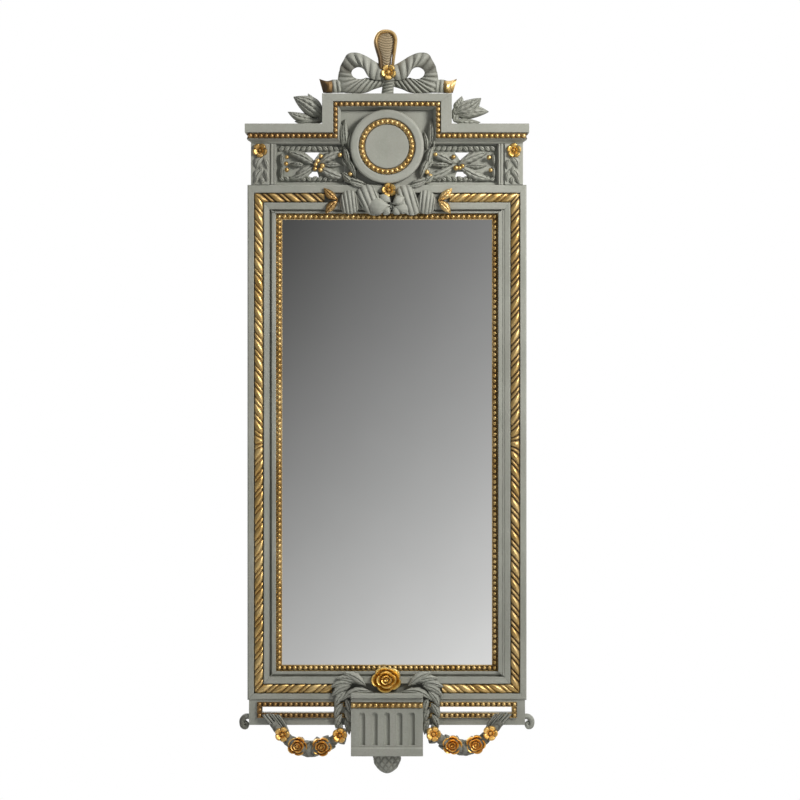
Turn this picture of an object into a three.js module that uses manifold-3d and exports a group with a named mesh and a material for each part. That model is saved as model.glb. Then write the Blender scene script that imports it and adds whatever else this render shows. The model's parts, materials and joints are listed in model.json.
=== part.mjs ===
// Trumeau mirror: a tall wall glass in a grey painted and gilded frame, with a carved crest and apron.
// Each piece is drawn as seen from the front: x to the right, y up, z out of the wall to the viewer.
// The finished group is turned so that +Z is up and the front faces -Y. The origin is the middle of
// the top rail's rear face, which lies against the wall. All sizes are in millimetres.
import * as THREE from 'three';
import { mergeVertices } from 'three/addons/utils/BufferGeometryUtils.js';
import Module from 'manifold-3d';

const wasm = await Module();
wasm.setup();

// ---------------------------------------------------------------- driving dimensions
// Clearance between pieces that are glued or laid against each other.
const fit = 0.3;

// Frame members: one moulded section, mitred at the four corners.
const frameWidth = 474;
const frameHeight = 875;
const frameDepth = 26;
const edgeRound = 2;
const marginWidth = 11;
const channelWidth = 16.5;
const channelDepth = 6;
const flatWidth = 11;
const flatFall = 1.5;
const grooveWidth = 4.5;
const grooveDepth = 11;
const filletWidth = 6;
const filletSetback = 8.5;

// Tenon on each end of the rails, inside the mitre.
const tenonShoulder = 12;
const tenonWidth = 22;
const tenonThickness = 7;
const tenonRearWood = 7;
const tenonEndWood = 9;

// Glass, backing panel, sight slips and the gilded rope moulding.
const glassThickness = 4;
const glassPlay = 0.7;
const panelThickness = 4;
const panelRebateWidth = 18;
const slipWidth = 10;
const slipRise = 4.5;
const slipBeadRadius = 3.2;
const ropeBase = 2;
const ropeRise = 6;

// Board of the frieze and crest, tongued into the top rail.
const friezeInset = 6;
const friezeHeight = 70;
const boardThickness = 16;
const tongueRearWood = 5;
const tongueThickness = 6;
const tongueDepth = 8;
const tongueEndClear = 60;

// Cornice: a plain band, a bead band under it and a cove, stepped up over the middle.
const corniceFront = 38;
const corniceOverhang = 10;
const bandHeight = 15;
const beadBandHeight = 11;
const beadBandSetback = 3;
const coveHeight = 7;
const coveSetback = 7;
const raisedWidth = 220;
const raisedRise = 51;
const topBandHeight = 13;
const topBeadHeight = 9.5;
const riserBandWidth = 18.5;
const riserBeadWidth = 9;

// Pilaster blocks and pierced laurel panels of the frieze.
const pilasterWidth = 42;
const pilasterFront = 27;
const pilasterFaceWidth = 31;
const reedWidth = 3.5;
const reedDepth = 4;
const windowInner = 72;
const windowSill = 4;
const windowHeight = 64;
const windowStile = 2;
const laurelBack = 3;
const laurelPlate = 9;
const laurelRelief = 8;
const leafHalfLength = 19;
const leafHalfWidth = 7.5;
const leafReach = 21;

// Roundel over the frieze.
const roundelRise = 64.5;
const roundelRadius = 63;
const roundelFront = 35;
const roundelEdge = 3;
const roundelRingWidth = 12.5;
const roundelBeadWidth = 9.5;
const roundelBeadDrop = 5;
const roundelDiscDrop = 6;

// Bow, its knot and the plume on the cornice.
const bowBack = 8;
const bowFront = 28;
const carvedRound = 3;
const knotRise = 37.5;
const knotHalfWidth = 12.5;
const knotAbove = 12;
const knotBelow = 25;
const stemHalfWidth = 10;
const knotFront = 31;
const knotRosetteRadius = 10.5;
const plumeHeight = 61;
const plumeHalfWidth = 20.5;
const plumeNeckHalfWidth = 10;

// Leaf clusters on the cornice shoulders and the ribbon swag on the top rail.
const clusterBack = 6;
const clusterFront = 30;
const swagRelief = 11;

// Apron rail with its two long slots, under the bottom rail.
const apronInset = 2.5;
const apronHeight = 42.5;
const apronBack = 6;
const apronFront = 24;
const apronBeadRise = 2;
const slotFromBracket = 29;
const slotEndWood = 22.5;
const slotTop = 11.5;
const slotHeight = 10;
const apronBeadWidth = 8.5;
const scrollThickness = 14;

// Fluted bracket with its pendant bud, rose, laurel bunches and garlands.
const bracketWidth = 122;
const bracketHeight = 106;
const bracketLap = 13;
const capHeight = 15;
const capFront = 52;
const capStep = 4;
const bracketBeadHeight = 10;
const bodyFront = 46;
const baseHeight = 16;
const baseStep = 2.5;
const fluteCount = 5;
const flutePitch = 21;
const fluteWidth = 10.5;
const fluteDepth = 3.5;
const fluteMargin = 3.5;
const budHeight = 31.5;
const budHalfWidth = 24.5;
const budFlattening = 0.62;
const roseHalfWidth = 26;
const roseHalfHeight = 22;
const roseRelief = 18;
const bunchRelief = 13;
const bunchReach = 32;
const garlandHalfWidth = 9.5;
const garlandHalfDepth = 8.5;
const garlandRosetteRadius = 11;
const garlandRoseRadius = 15;
const garlandRoseRise = 5;
const tailRelief = 9;

// Rear fittings: turn buttons on the backing panel, strap hangers with rings, wall pads.
const buttonLength = 32;
const buttonWidth = 11;
const buttonThickness = 2.5;
const buttonFromEnd = 180;
const screwRadius = 1.8;
const screwHeadRadius = 4;
const screwHeadHeight = 1.8;
const screwLength = 15;
const hangerFromTop = 120;
const strapWidth = 12;
const strapLength = 20;
const strapThickness = 1.2;
const strapScrewDrop = 11;
const ringWireRadius = 1.5;
const ringWidth = 27;
const ringReach = 24;
const curlWidth = 10;
const padRadius = 7;
const padThickness = 7;
const padFromBottom = 24;

// Ribbon swag on the top rail: right half outline, from the middle of the rail's top edge.
const swagOutline = [
  [14, 0], [46, 0], [62, -6], [84, -13], [106, -7], [89, -27],
  [103, -46], [80, -40], [60, -46], [38, -43], [20, -47],
];

// ---------------------------------------------------------------- derived places
const memberWidth = marginWidth + channelWidth + flatWidth + grooveWidth + filletWidth;
const frameHalf = frameWidth / 2;
const rearLand = memberWidth - panelRebateWidth;
const frameTop = rearLand / 2;
const frameBottom = frameTop - frameHeight;
const panelRebateDepth = panelThickness + fit;
const glassBack = panelRebateDepth;
const glassFront = glassBack + glassThickness;
const slipBack = glassFront + fit;
const ornamentBack = frameDepth + fit;
const mitreGap = (fit / 2) * Math.SQRT2;
const appliedBack = boardThickness + fit;
const friezeHalf = frameHalf - friezeInset;
const boardBottom = frameTop + fit;
const coveBottom = frameTop + friezeHeight;
const beadBandBottom = coveBottom + coveHeight;
const bandBottom = beadBandBottom + beadBandHeight;
const corniceTop = bandBottom + bandHeight;
const corniceHalf = friezeHalf + corniceOverhang;
const raisedHalf = raisedWidth / 2;
const raisedTop = corniceTop + raisedRise;
const topPieceBottom = raisedTop - topBandHeight - topBeadHeight;
const windowOuter = friezeHalf - pilasterWidth - windowStile;
const windowBottom = frameTop + windowSill;
const windowTop = windowBottom + windowHeight;
const roundelY = frameTop + roundelRise;
const swagHalfWidth = Math.max(...swagOutline.map(([x]) => x));
const knotY = raisedTop + knotRise;
const apronTop = frameBottom - fit;
const apronBottom = frameBottom - apronHeight;
const apronHalf = frameHalf - apronInset;
const capTop = frameBottom + bracketLap;
const bracketBottom = capTop - bracketHeight;
const bracketHalf = bracketWidth / 2;
const slotInner = bracketHalf + slotFromBracket;
const slotOuter = apronHalf - slotEndWood;
const garlandSpan = apronHalf - bracketHalf;
const bunchEdge = bracketHalf + bunchReach + fit;
const landX = frameHalf - rearLand / 2;
const hangerY = frameTop - hangerFromTop;
const curlBore = ringWireRadius + fit;
const curlRadius = curlBore + strapThickness;
const ringAxisZ = -(fit + curlRadius);

// ---------------------------------------------------------------- finishes
const finish = (color, roughness, metalness) => () =>
  new THREE.MeshStandardMaterial({ color, roughness, metalness });
const paintedGrey = finish(0x92948b, 0.62, 0);
const gilded = finish(0xb98a3c, 0.38, 0.75);
const silvered = finish(0xb4b6b8, 0.05, 1);
const hardboard = finish(0x7a5b3d, 0.85, 0);
const brass = finish(0xa8894d, 0.4, 0.9);
const steel = finish(0x8f9194, 0.35, 0.95);
const felt = finish(0x4c4a46, 0.95, 0);

// ---------------------------------------------------------------- shape helpers
// Closed outline through [x, y] corners.
function outline(corners) {
  return new THREE.Shape(corners.map(([x, y]) => new THREE.Vector2(x, y)));
}

// The same points on the left (side -1) or on the right (side 1).
const mirrored = (side, points) => points.map(([x, y]) => [side * x, y]);

// Plate of a front-view shape between two depths.
function plate(shape, back, front, curveSegments = 6) {
  const geometry = new THREE.ExtrudeGeometry(shape, {
    depth: front - back, bevelEnabled: false, curveSegments,
  });
  return geometry.translate(0, 0, back);
}

// Carved relief: a plate whose edges are rounded inwards, so it stays inside its outline.
function carved(shape, back, front, round = carvedRound) {
  const geometry = new THREE.ExtrudeGeometry(shape, {
    depth: front - back - 2 * round, bevelEnabled: true, bevelThickness: round,
    bevelSize: round, bevelOffset: -round, bevelSegments: 2, curveSegments: 6,
  });
  return geometry.translate(0, 0, back + round);
}

// Box between two corners, given in any order along x.
function block(xa, xb, y0, y1, z0, z1) {
  const geometry = new THREE.BoxGeometry(Math.abs(xb - xa), y1 - y0, z1 - z0);
  return geometry.translate((xa + xb) / 2, (y0 + y1) / 2, (z0 + z1) / 2);
}

// Moulding: a section of [distance inward, depth] carried along a straight run. The ends are slid to
// a mitre: 1 leans in as the section goes inward, 0 is square.
function moulding(section, start, inward, length, mitreStart, mitreEnd) {
  const geometry = new THREE.ExtrudeGeometry(section, {
    depth: length, bevelEnabled: false, curveSegments: 5,
  });
  const position = geometry.attributes.position;
  for (let i = 0; i < position.count; i += 1) {
    const d = position.getX(i);
    const atStart = position.getZ(i) < length / 2;
    const z = atStart
      ? mitreStart * (d + mitreGap)
      : length - mitreEnd * (d + mitreGap);
    position.setZ(i, z);
  }
  const inwardAxis = new THREE.Vector3(inward[0], inward[1], 0);
  const outAxis = new THREE.Vector3(0, 0, 1);
  const along = new THREE.Vector3().crossVectors(inwardAxis, outAxis);
  const place = new THREE.Matrix4().makeBasis(inwardAxis, outAxis, along);
  place.setPosition(start[0], start[1], 0);
  return geometry.applyMatrix4(place);
}

// The four directions of a rectangular frame, named by side, each run starting at its own corner.
function frameSides(inset) {
  const half = frameHalf - inset;
  const top = frameTop - inset;
  const bottom = frameBottom + inset;
  return {
    left: { start: [-half, top], inward: [1, 0], length: top - bottom },
    right: { start: [half, bottom], inward: [-1, 0], length: top - bottom },
    top: { start: [half, top], inward: [0, -1], length: 2 * half },
    bottom: { start: [-half, bottom], inward: [0, 1], length: 2 * half },
  };
}

// Section in x and z carried down from y = top.
function column(section, top, length) {
  const geometry = new THREE.ExtrudeGeometry(section, { depth: length, bevelEnabled: false });
  return geometry.rotateX(Math.PI / 2).translate(0, top, 0);
}

// Side profile of [z, y] carried across the width.
function crosswise(profile, width) {
  const geometry = new THREE.ExtrudeGeometry(profile, { depth: width, bevelEnabled: false });
  return geometry.rotateY(-Math.PI / 2).translate(width / 2, 0, 0);
}

// Turned form about an axis towards the viewer: profile of [radius, z].
function turned(profile, segments, x = 0, y = 0) {
  const points = profile.map(([r, z]) => new THREE.Vector2(r, z));
  const geometry = new THREE.LatheGeometry(points, segments);
  return geometry.rotateX(Math.PI / 2).translate(x, y, 0);
}

// Low dome on a flat back, as the body of a carved rose or rosette.
function dome(x, y, radiusX, radiusY, back, rise, segments = 10) {
  const rings = 3;
  const profile = [[0, 0]];
  for (let i = 0; i <= rings; i += 1) {
    const angle = (i / rings) * (Math.PI / 2);
    profile.push([i === rings ? 0 : Math.cos(angle), Math.sin(angle)]);
  }
  const geometry = turned(profile, segments);
  return geometry.scale(radiusX, radiusY, rise).translate(x, y, back);
}

// Cylinder along z between two depths.
function pegHole(x, y, radius, z0, z1) {
  const geometry = new THREE.CylinderGeometry(radius, radius, z1 - z0, 12);
  return geometry.rotateX(Math.PI / 2).translate(x, y, (z0 + z1) / 2);
}

// ---------------------------------------------------------------- booleans
function solid(geometry) {
  let bare = geometry.clone();
  bare.deleteAttribute('normal');
  bare.deleteAttribute('uv');
  bare = mergeVertices(bare, 1e-4);
  const made = new wasm.Manifold(new wasm.Mesh({
    numProp: 3,
    vertProperties: new Float32Array(bare.attributes.position.array),
    triVerts: new Uint32Array(bare.index.array),
  }));
  if (made.volume() > 0) return made;
  throw new Error('a solid is inside out');
}

function geometryOf(manifold) {
  const mesh = manifold.getMesh();
  const geometry = new THREE.BufferGeometry();
  geometry.setAttribute('position', new THREE.BufferAttribute(mesh.vertProperties, 3));
  geometry.setIndex(new THREE.BufferAttribute(mesh.triVerts, 1));
  return geometry;
}

const joined = (...geometries) =>
  geometryOf(geometries.map(solid).reduce((whole, next) => whole.add(next)));
const cut = (geometry, ...cutters) =>
  geometryOf(cutters.map(solid).reduce((whole, next) => whole.subtract(next), solid(geometry)));

// ---------------------------------------------------------------- the assembly
const trumeau = new THREE.Group();
trumeau.rotation.x = Math.PI / 2;
const sides = [['left', -1], ['right', 1]];

function addPiece(name, geometry, material) {
  const mesh = new THREE.Mesh(geometry, material());
  mesh.name = name;
  trumeau.add(mesh);
  return mesh;
}

// Moulded section of a stile or rail: margin, rope channel, flat, groove, fillet, rear rebate.
function memberSection() {
  const channelEnd = marginWidth + channelWidth;
  const flatEnd = channelEnd + flatWidth;
  const grooveEnd = flatEnd + grooveWidth;
  return outline([
    [0, 0],
    [0, frameDepth - edgeRound],
    [edgeRound, frameDepth],
    [marginWidth, frameDepth],
    [marginWidth, frameDepth - channelDepth],
    [channelEnd, frameDepth - channelDepth],
    [channelEnd, frameDepth],
    [flatEnd, frameDepth - flatFall],
    [flatEnd, frameDepth - grooveDepth],
    [grooveEnd, frameDepth - grooveDepth],
    [grooveEnd, frameDepth - filletSetback],
    [memberWidth, frameDepth - filletSetback],
    [memberWidth, panelRebateDepth],
    [rearLand, panelRebateDepth],
    [rearLand, 0],
  ]);
}

// Tenon of one rail end, or with clear > 0 the mortise that takes it.
function tenon(side, railEdge, inwardY, clear) {
  const ya = railEdge + inwardY * (tenonShoulder - clear);
  const yb = railEdge + inwardY * (tenonShoulder + tenonWidth + clear);
  return block(
    side * (frameHalf - tenonEndWood + clear),
    side * (frameHalf - memberWidth - clear),
    Math.min(ya, yb),
    Math.max(ya, yb),
    tenonRearWood - clear,
    tenonRearWood + tenonThickness + clear);
}

// Tongue along an outer edge of the frame, or with clear > 0 the groove that takes it.
function tongue(edge, outwardY, clear) {
  const ya = edge - outwardY * (tongueDepth + clear);
  const yb = edge + outwardY * 1.5 * fit;
  const half = frameHalf - tongueEndClear + clear;
  return block(-half, half, Math.min(ya, yb), Math.max(ya, yb),
    tongueRearWood - clear, tongueRearWood + tongueThickness + clear);
}

const buttonRows = [['upper', frameTop - buttonFromEnd], ['lower', frameBottom + buttonFromEnd]];

function addFrameMembers() {
  const runs = frameSides(0);
  const run = ({ start, inward, length }) =>
    moulding(memberSection(), start, inward, length, 1, 1);
  for (const [name, side] of sides) {
    const holes = [hangerY - strapScrewDrop, ...buttonRows.map(([, y]) => y)].map((y) =>
      pegHole(side * landX, y, screwRadius + fit, -1, screwLength + fit));
    addPiece(`stile_${name}`, cut(run(runs[name]),
      tenon(side, frameTop, -1, fit), tenon(side, frameBottom, 1, fit), ...holes), paintedGrey);
  }
  const rails = [['top', frameTop, -1], ['bottom', frameBottom, 1]];
  for (const [name, edge, inwardY] of rails) {
    const tenoned = joined(run(runs[name]),
      tenon(-1, edge, inwardY, 0), tenon(1, edge, inwardY, 0));
    addPiece(`${name}_rail`, cut(tenoned, tongue(edge, -inwardY, fit)), paintedGrey);
  }
}

// Slip round the glass: a flat bed with a half-round for the pearls.
function addSlips() {
  const bed = slipBack + slipRise;
  const middle = slipWidth / 2;
  const section = outline([[0, slipBack], [0, bed], [middle - slipBeadRadius, bed]]);
  section.absarc(middle, bed, slipBeadRadius, Math.PI, 0, true);
  section.lineTo(slipWidth, bed);
  section.lineTo(slipWidth, slipBack);
  for (const [name, { start, inward, length }] of Object.entries(frameSides(memberWidth + fit))) {
    addPiece(`bead_slip_${name}`, moulding(section, start, inward, length, 1, 1), gilded);
  }
}

// Half-round rope moulding in its channel: whole on the stiles, broken at the middle of the rails.
function addRopes() {
  const width = channelWidth - 2 * fit;
  const base = frameDepth - channelDepth + fit;
  const shoulder = base + ropeBase;
  const section = outline([[0, base], [0, shoulder]]);
  section.absellipse(width / 2, shoulder, width / 2, ropeRise, Math.PI, 0, true);
  section.lineTo(width, base);
  const inset = marginWidth + fit;
  const runs = frameSides(inset);
  for (const [name] of sides) {
    const { start, inward, length } = runs[name];
    addPiece(`rope_${name}`, moulding(section, start, inward, length, 1, 1), gilded);
  }
  const topLength = frameHalf - inset - swagHalfWidth - fit;
  const bottomLength = frameHalf - inset - bunchEdge - fit;
  const { top, bottom } = runs;
  addPiece('rope_top_right', moulding(section, top.start, top.inward, topLength, 1, 0), gilded);
  addPiece('rope_top_left', moulding(section, [-swagHalfWidth - fit, top.start[1]], top.inward,
    topLength, 0, 1), gilded);
  addPiece('rope_bottom_left', moulding(section, bottom.start, bottom.inward,
    bottomLength, 1, 0), gilded);
  addPiece('rope_bottom_right', moulding(section, [bunchEdge + fit, bottom.start[1]],
    bottom.inward, bottomLength, 0, 1), gilded);
}

function addGlassAndBack() {
  const openHalf = frameHalf - memberWidth - glassPlay;
  const openTop = frameTop - memberWidth - glassPlay;
  const openBottom = frameBottom + memberWidth + glassPlay;
  addPiece('mirror_glass',
    block(-openHalf, openHalf, openBottom, openTop, glassBack, glassFront), silvered);
  const panelHalf = frameHalf - rearLand - fit;
  addPiece('back_panel', block(-panelHalf, panelHalf, frameBottom + rearLand + fit,
    frameTop - rearLand - fit, 0, panelThickness), hardboard);
}

// Domed screw driven from the rear: head outside, shank in the wood.
function screw(x, y, seat) {
  const profile = [
    [0, -screwLength], [screwRadius, -screwLength + 2 * screwRadius], [screwRadius, 0],
    [screwHeadRadius, 0], [screwHeadRadius * 0.85, screwHeadHeight * 0.6], [0, screwHeadHeight],
  ];
  const points = profile.map(([r, h]) => new THREE.Vector2(r, h));
  const geometry = new THREE.LatheGeometry(points, 10);
  return geometry.rotateX(-Math.PI / 2).translate(x, y, seat);
}

function addTurnButtons() {
  const endRadius = buttonWidth / 2;
  const straight = buttonLength / 2 - endRadius;
  for (const [name, side] of sides) {
    for (const [row, y] of buttonRows) {
      const shape = new THREE.Shape();
      shape.absarc(straight, 0, endRadius, -Math.PI / 2, Math.PI / 2, false);
      shape.absarc(-straight, 0, endRadius, Math.PI / 2, 1.5 * Math.PI, false);
      const hole = new THREE.Path();
      hole.absarc(0, 0, screwRadius + fit, 0, 2 * Math.PI, true);
      shape.holes.push(hole);
      const back = -fit - buttonThickness;
      const bar = plate(shape, back, -fit);
      const button = addPiece(`turn_button_${name}_${row}`, bar, brass);
      button.position.set(side * landX, y, 0);
      addPiece(`button_screw_${name}_${row}`, screw(side * landX, y, back - fit), steel);
    }
  }
}

// Strap hanger: a screwed strap whose end curls round the bar of a free D-ring.
function addHangers() {
  const sweep = ringWidth / 2;
  const steps = 8;
  const bend = [];
  for (let i = 0; i <= steps; i += 1) {
    const angle = Math.PI * (1 + i / steps);
    bend.push(new THREE.Vector3(
      sweep * Math.cos(angle), -(ringReach - sweep) + sweep * Math.sin(angle), 0));
  }
  const path = new THREE.CatmullRomCurve3(
    [new THREE.Vector3(-sweep, 0, 0), ...bend, new THREE.Vector3(sweep, 0, 0)]);
  const wire = new THREE.Shape();
  wire.absarc(0, 0, ringWireRadius, 0, 2 * Math.PI, false);
  for (const [name, side] of sides) {
    const x = side * landX;
    const curl = new THREE.CylinderGeometry(curlRadius, curlRadius, curlWidth, 16);
    curl.rotateZ(Math.PI / 2).translate(0, 0, ringAxisZ);
    const bore = new THREE.CylinderGeometry(curlBore, curlBore, 2 * curlWidth, 16);
    bore.rotateZ(Math.PI / 2).translate(0, 0, ringAxisZ);
    const strap = plate(outline([
      [-curlWidth / 2, 0], [-strapWidth / 2, -strapLength / 3], [-strapWidth / 2, -strapLength],
      [strapWidth / 2, -strapLength], [strapWidth / 2, -strapLength / 3], [curlWidth / 2, 0],
    ]), -fit - strapThickness, -fit);
    const screwHole = pegHole(0, -strapScrewDrop, screwRadius + fit, -fit - 2 * strapThickness, fit);
    const plateMesh = addPiece(`hanger_strap_${name}`, cut(joined(strap, curl), bore, screwHole), brass);
    plateMesh.position.set(x, hangerY, 0);
    const loop = new THREE.ExtrudeGeometry(wire, {
      extrudePath: path, steps: 18, bevelEnabled: false, curveSegments: 4,
    });
    const bar = new THREE.CylinderGeometry(ringWireRadius, ringWireRadius,
      ringWidth + ringWireRadius, 8);
    bar.rotateZ(Math.PI / 2);
    const ring = addPiece(`hanger_ring_${name}`, joined(loop, bar), steel);
    ring.position.set(x, hangerY, ringAxisZ);
    const seat = -fit - strapThickness - fit;
    addPiece(`hanger_screw_${name}`, screw(x, hangerY - strapScrewDrop, seat), steel);
  }
}

function addWallPads() {
  for (const [name, side] of sides) {
    addPiece(`wall_pad_${name}`, pegHole(side * landX, frameBottom + padFromBottom, padRadius,
      -fit - padThickness, -fit), felt);
  }
}

// ---------------------------------------------------------------- crest
// Board behind the frieze and the raised middle, with two windows for the pierced panels.
function addCrestBoard() {
  const shape = outline([
    [-friezeHalf, boardBottom], [friezeHalf, boardBottom], [friezeHalf, corniceTop],
    [raisedHalf, corniceTop], [raisedHalf, raisedTop], [-raisedHalf, raisedTop],
    [-raisedHalf, corniceTop], [-friezeHalf, corniceTop],
  ]);
  const windows = sides.map(([, side]) => block(side * windowInner, side * windowOuter,
    windowBottom, windowTop, -1, boardThickness + 1));
  const board = joined(plate(shape, 0, boardThickness), tongue(frameTop, 1, 0));
  addPiece('crest_board', cut(board, ...windows), paintedGrey);
}

// Pilaster block with a flat face and two narrow reeds beside the panel.
function addPilasters() {
  const faceEdge = friezeHalf - pilasterFaceWidth;
  const low = pilasterFront - reedDepth;
  const gap = (pilasterWidth - pilasterFaceWidth - 2 * reedWidth) / 2;
  const firstReed = faceEdge - gap;
  const secondReed = firstReed - reedWidth - gap;
  const crown = pilasterFront - reedDepth / 2;
  for (const [name, side] of sides) {
    const section = outline(mirrored(side, [
      [friezeHalf, appliedBack], [friezeHalf, pilasterFront], [faceEdge, pilasterFront],
      [faceEdge, low], [firstReed, low], [firstReed, crown], [firstReed - reedWidth, crown],
      [firstReed - reedWidth, low], [secondReed, low], [secondReed, crown],
      [secondReed - reedWidth, crown], [secondReed - reedWidth, appliedBack],
    ]));
    const length = friezeHeight - 2 * fit;
    addPiece(`pilaster_${name}`, column(section, boardBottom + length, length), paintedGrey);
  }
}

// One laurel leaf: a long low lens, turned to its angle about the crossing of the sprigs.
function laurelLeaf(x, y, z, angle, reach, relief) {
  const leaf = new THREE.SphereGeometry(1, 8, 5).rotateX(Math.PI / 2);
  leaf.scale(leafHalfLength, leafHalfWidth, relief);
  leaf.rotateZ(angle);
  return leaf.translate(x + reach * Math.cos(angle), y + reach * Math.sin(angle), z);
}

// Pierced panel: a plate with two openings, under two crossed sprigs of laurel.
function addLaurelPanels() {
  const openingAbove = [[-11, 20.5], [5, 6.5], [15, 20.5]];
  const openingBelow = [[-22, -22.5], [-2, -12.5], [10.5, -12.5], [13.6, -22]];
  const centreX = (windowInner + windowOuter) / 2;
  const centreY = (windowBottom + windowTop) / 2;
  const crossing = 8;
  for (const [name, side] of sides) {
    const front = laurelBack + laurelPlate;
    const openings = [openingAbove, openingBelow].map((points) =>
      plate(outline(mirrored(side, points.map(([x, y]) => [centreX - x, y + centreY]))),
        laurelBack - 1, front + 1));
    const ground = block(side * (windowInner + fit), side * (windowOuter - fit),
      windowBottom + fit, windowTop - fit, laurelBack, front);
    const x = side * (centreX - crossing);
    const leaves = [0.17, 0.83, 1.17, 1.83].map((turn) =>
      laurelLeaf(x, centreY, front, turn * Math.PI, leafReach, laurelRelief));
    addPiece(`laurel_panel_${name}`, joined(cut(ground, ...openings), ...leaves), paintedGrey);
  }
}

// Cornice in five lengths: two wings with returned ends, two risers and the top.
function addCornice() {
  const beadFront = corniceFront - beadBandSetback;
  const coveFront = corniceFront - coveSetback;
  const beadHalf = corniceHalf - beadBandSetback;
  const coveHalf = corniceHalf - coveSetback;
  const riserEdge = raisedHalf - riserBandWidth;
  const riserInner = riserEdge - riserBeadWidth;
  const back = appliedBack;
  for (const [name, side] of sides) {
    const inner = side * (raisedHalf + fit);
    const endBack = side * (friezeHalf + fit);
    const layers = [
      [corniceHalf, bandBottom, corniceTop, corniceFront],
      [beadHalf, beadBandBottom, bandBottom, beadFront],
      [coveHalf, coveBottom, beadBandBottom, coveFront],
    ];
    const bars = layers.flatMap(([half, bottom, top, front]) => [
      block(side * half, inner, bottom, top, back, front),
      block(side * half, endBack, bottom, top, 0, front),
    ]);
    addPiece(`cornice_wing_${name}`, joined(...bars), paintedGrey);
    const riserTop = topPieceBottom - fit;
    addPiece(`cornice_riser_${name}`, joined(
      block(side * riserEdge, side * raisedHalf, bandBottom, riserTop, back, corniceFront),
      block(side * riserInner, side * riserEdge, beadBandBottom, riserTop, back, beadFront),
      block(side * riserInner, side * raisedHalf, beadBandBottom, bandBottom, back, beadFront),
      block(side * riserInner, side * raisedHalf, coveBottom, beadBandBottom, back, coveFront),
    ), paintedGrey);
  }
  const topLedge = raisedTop - topBandHeight;
  addPiece('cornice_top', joined(
    block(-raisedHalf, raisedHalf, topLedge, raisedTop, back, corniceFront),
    block(-raisedHalf, raisedHalf, topPieceBottom, topLedge, back, beadFront),
  ), paintedGrey);
}

function addRoundel() {
  const ringInner = roundelRadius - roundelEdge - roundelRingWidth;
  const discRadius = ringInner - roundelBeadWidth;
  addPiece('roundel', turned([
    [0, appliedBack], [roundelRadius, appliedBack], [roundelRadius, roundelFront - roundelEdge],
    [roundelRadius - roundelEdge, roundelFront], [ringInner, roundelFront],
    [ringInner, roundelFront - roundelBeadDrop], [discRadius, roundelFront - roundelBeadDrop],
    [discRadius, roundelFront - roundelDiscDrop], [0, roundelFront - roundelDiscDrop],
  ], 40, 0, roundelY), paintedGrey);
}

// Loop and tail of the bow beside the knot. Points are from the knot's centre, on the right side.
const bowLoop = [
  [13.2, 10], [29, 23], [46, 31.5], [61, 32.5], [74, 26], [81, 14], [84, 0], [84, -8], [116, -9],
  [111, -36], [92, -37], [60, -37], [38, -36.5], [25, -30], [13.2, -24],
];
const bowEye = { x: 50, y: -1, halfWidth: 11.5, halfHeight: 9.5 };

function addBow() {
  for (const [name, side] of sides) {
    const shape = outline(mirrored(side, bowLoop).map(([x, y]) => [x, y + knotY]));
    const eye = new THREE.Shape();
    eye.absellipse(side * bowEye.x, knotY + bowEye.y, bowEye.halfWidth, bowEye.halfHeight,
      0, 2 * Math.PI, false);
    const loop = cut(carved(shape, bowBack, bowFront), plate(eye, bowBack - 1, bowFront + 1));
    addPiece(`bow_${name}`, loop, paintedGrey);
  }
  const stemBottom = raisedTop + fit;
  addPiece('bow_knot', joined(
    block(-stemHalfWidth, stemHalfWidth, stemBottom, knotY, bowBack, bowFront),
    block(-knotHalfWidth, knotHalfWidth, knotY - knotBelow, knotY + knotAbove, bowBack, bowFront),
    dome(0, knotY, knotRosetteRadius, knotRosetteRadius, bowFront - carvedRound,
      knotFront - bowFront + carvedRound),
  ), paintedGrey);
}

// Pear-shaped plume standing on the knot: half-widths up its height, rounded at the top.
function addPlume() {
  const foot = knotY + knotAbove + fit;
  const wide = plumeHalfWidth;
  const neck = plumeNeckHalfWidth;
  const waist = 0.5 * (neck + wide) - 1;
  const half = [[neck, 0], [neck, 0.06], [waist, 0.38], [wide, 0.72], [0.8 * wide, 0.92]];
  const right = half.map(([x, share]) => [x, foot + share * plumeHeight]);
  const left = right.map(([x, y]) => [-x, y]).reverse();
  const edge = new THREE.SplineCurve([...right, [0, foot + plumeHeight], ...left]
    .map(([x, y]) => new THREE.Vector2(x, y)));
  const points = edge.getPoints(24).map((p) => [p.x, p.y]);
  addPiece('plume', carved(outline(points), bowBack + 1, bowFront - 1), gilded);
}

// Leaf cluster in the corner of a wing and a riser. Points are from that corner, on the right side.
const leafCluster = [
  [0, 0], [51, 0], [50, 9], [62, 21], [46, 27], [52, 45], [28, 37], [27, 52], [11, 43], [0, 36],
];

function addShoulderLeaves() {
  for (const [name, side] of sides) {
    const shape = outline(mirrored(side, leafCluster.map(([x, y]) =>
      [x + raisedHalf + fit, y + corniceTop + fit])));
    addPiece(`shoulder_leaves_${name}`, carved(shape, clusterBack, clusterFront, 1.5), paintedGrey);
  }
}

function addRibbonSwag() {
  const right = swagOutline.map(([x, y]) => [x, y + frameTop]);
  const left = right.map(([x, y]) => [-x, y]).reverse();
  const shape = outline([...right, ...left]);
  addPiece('ribbon_swag', carved(shape, ornamentBack, ornamentBack + swagRelief), paintedGrey);
}

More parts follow.
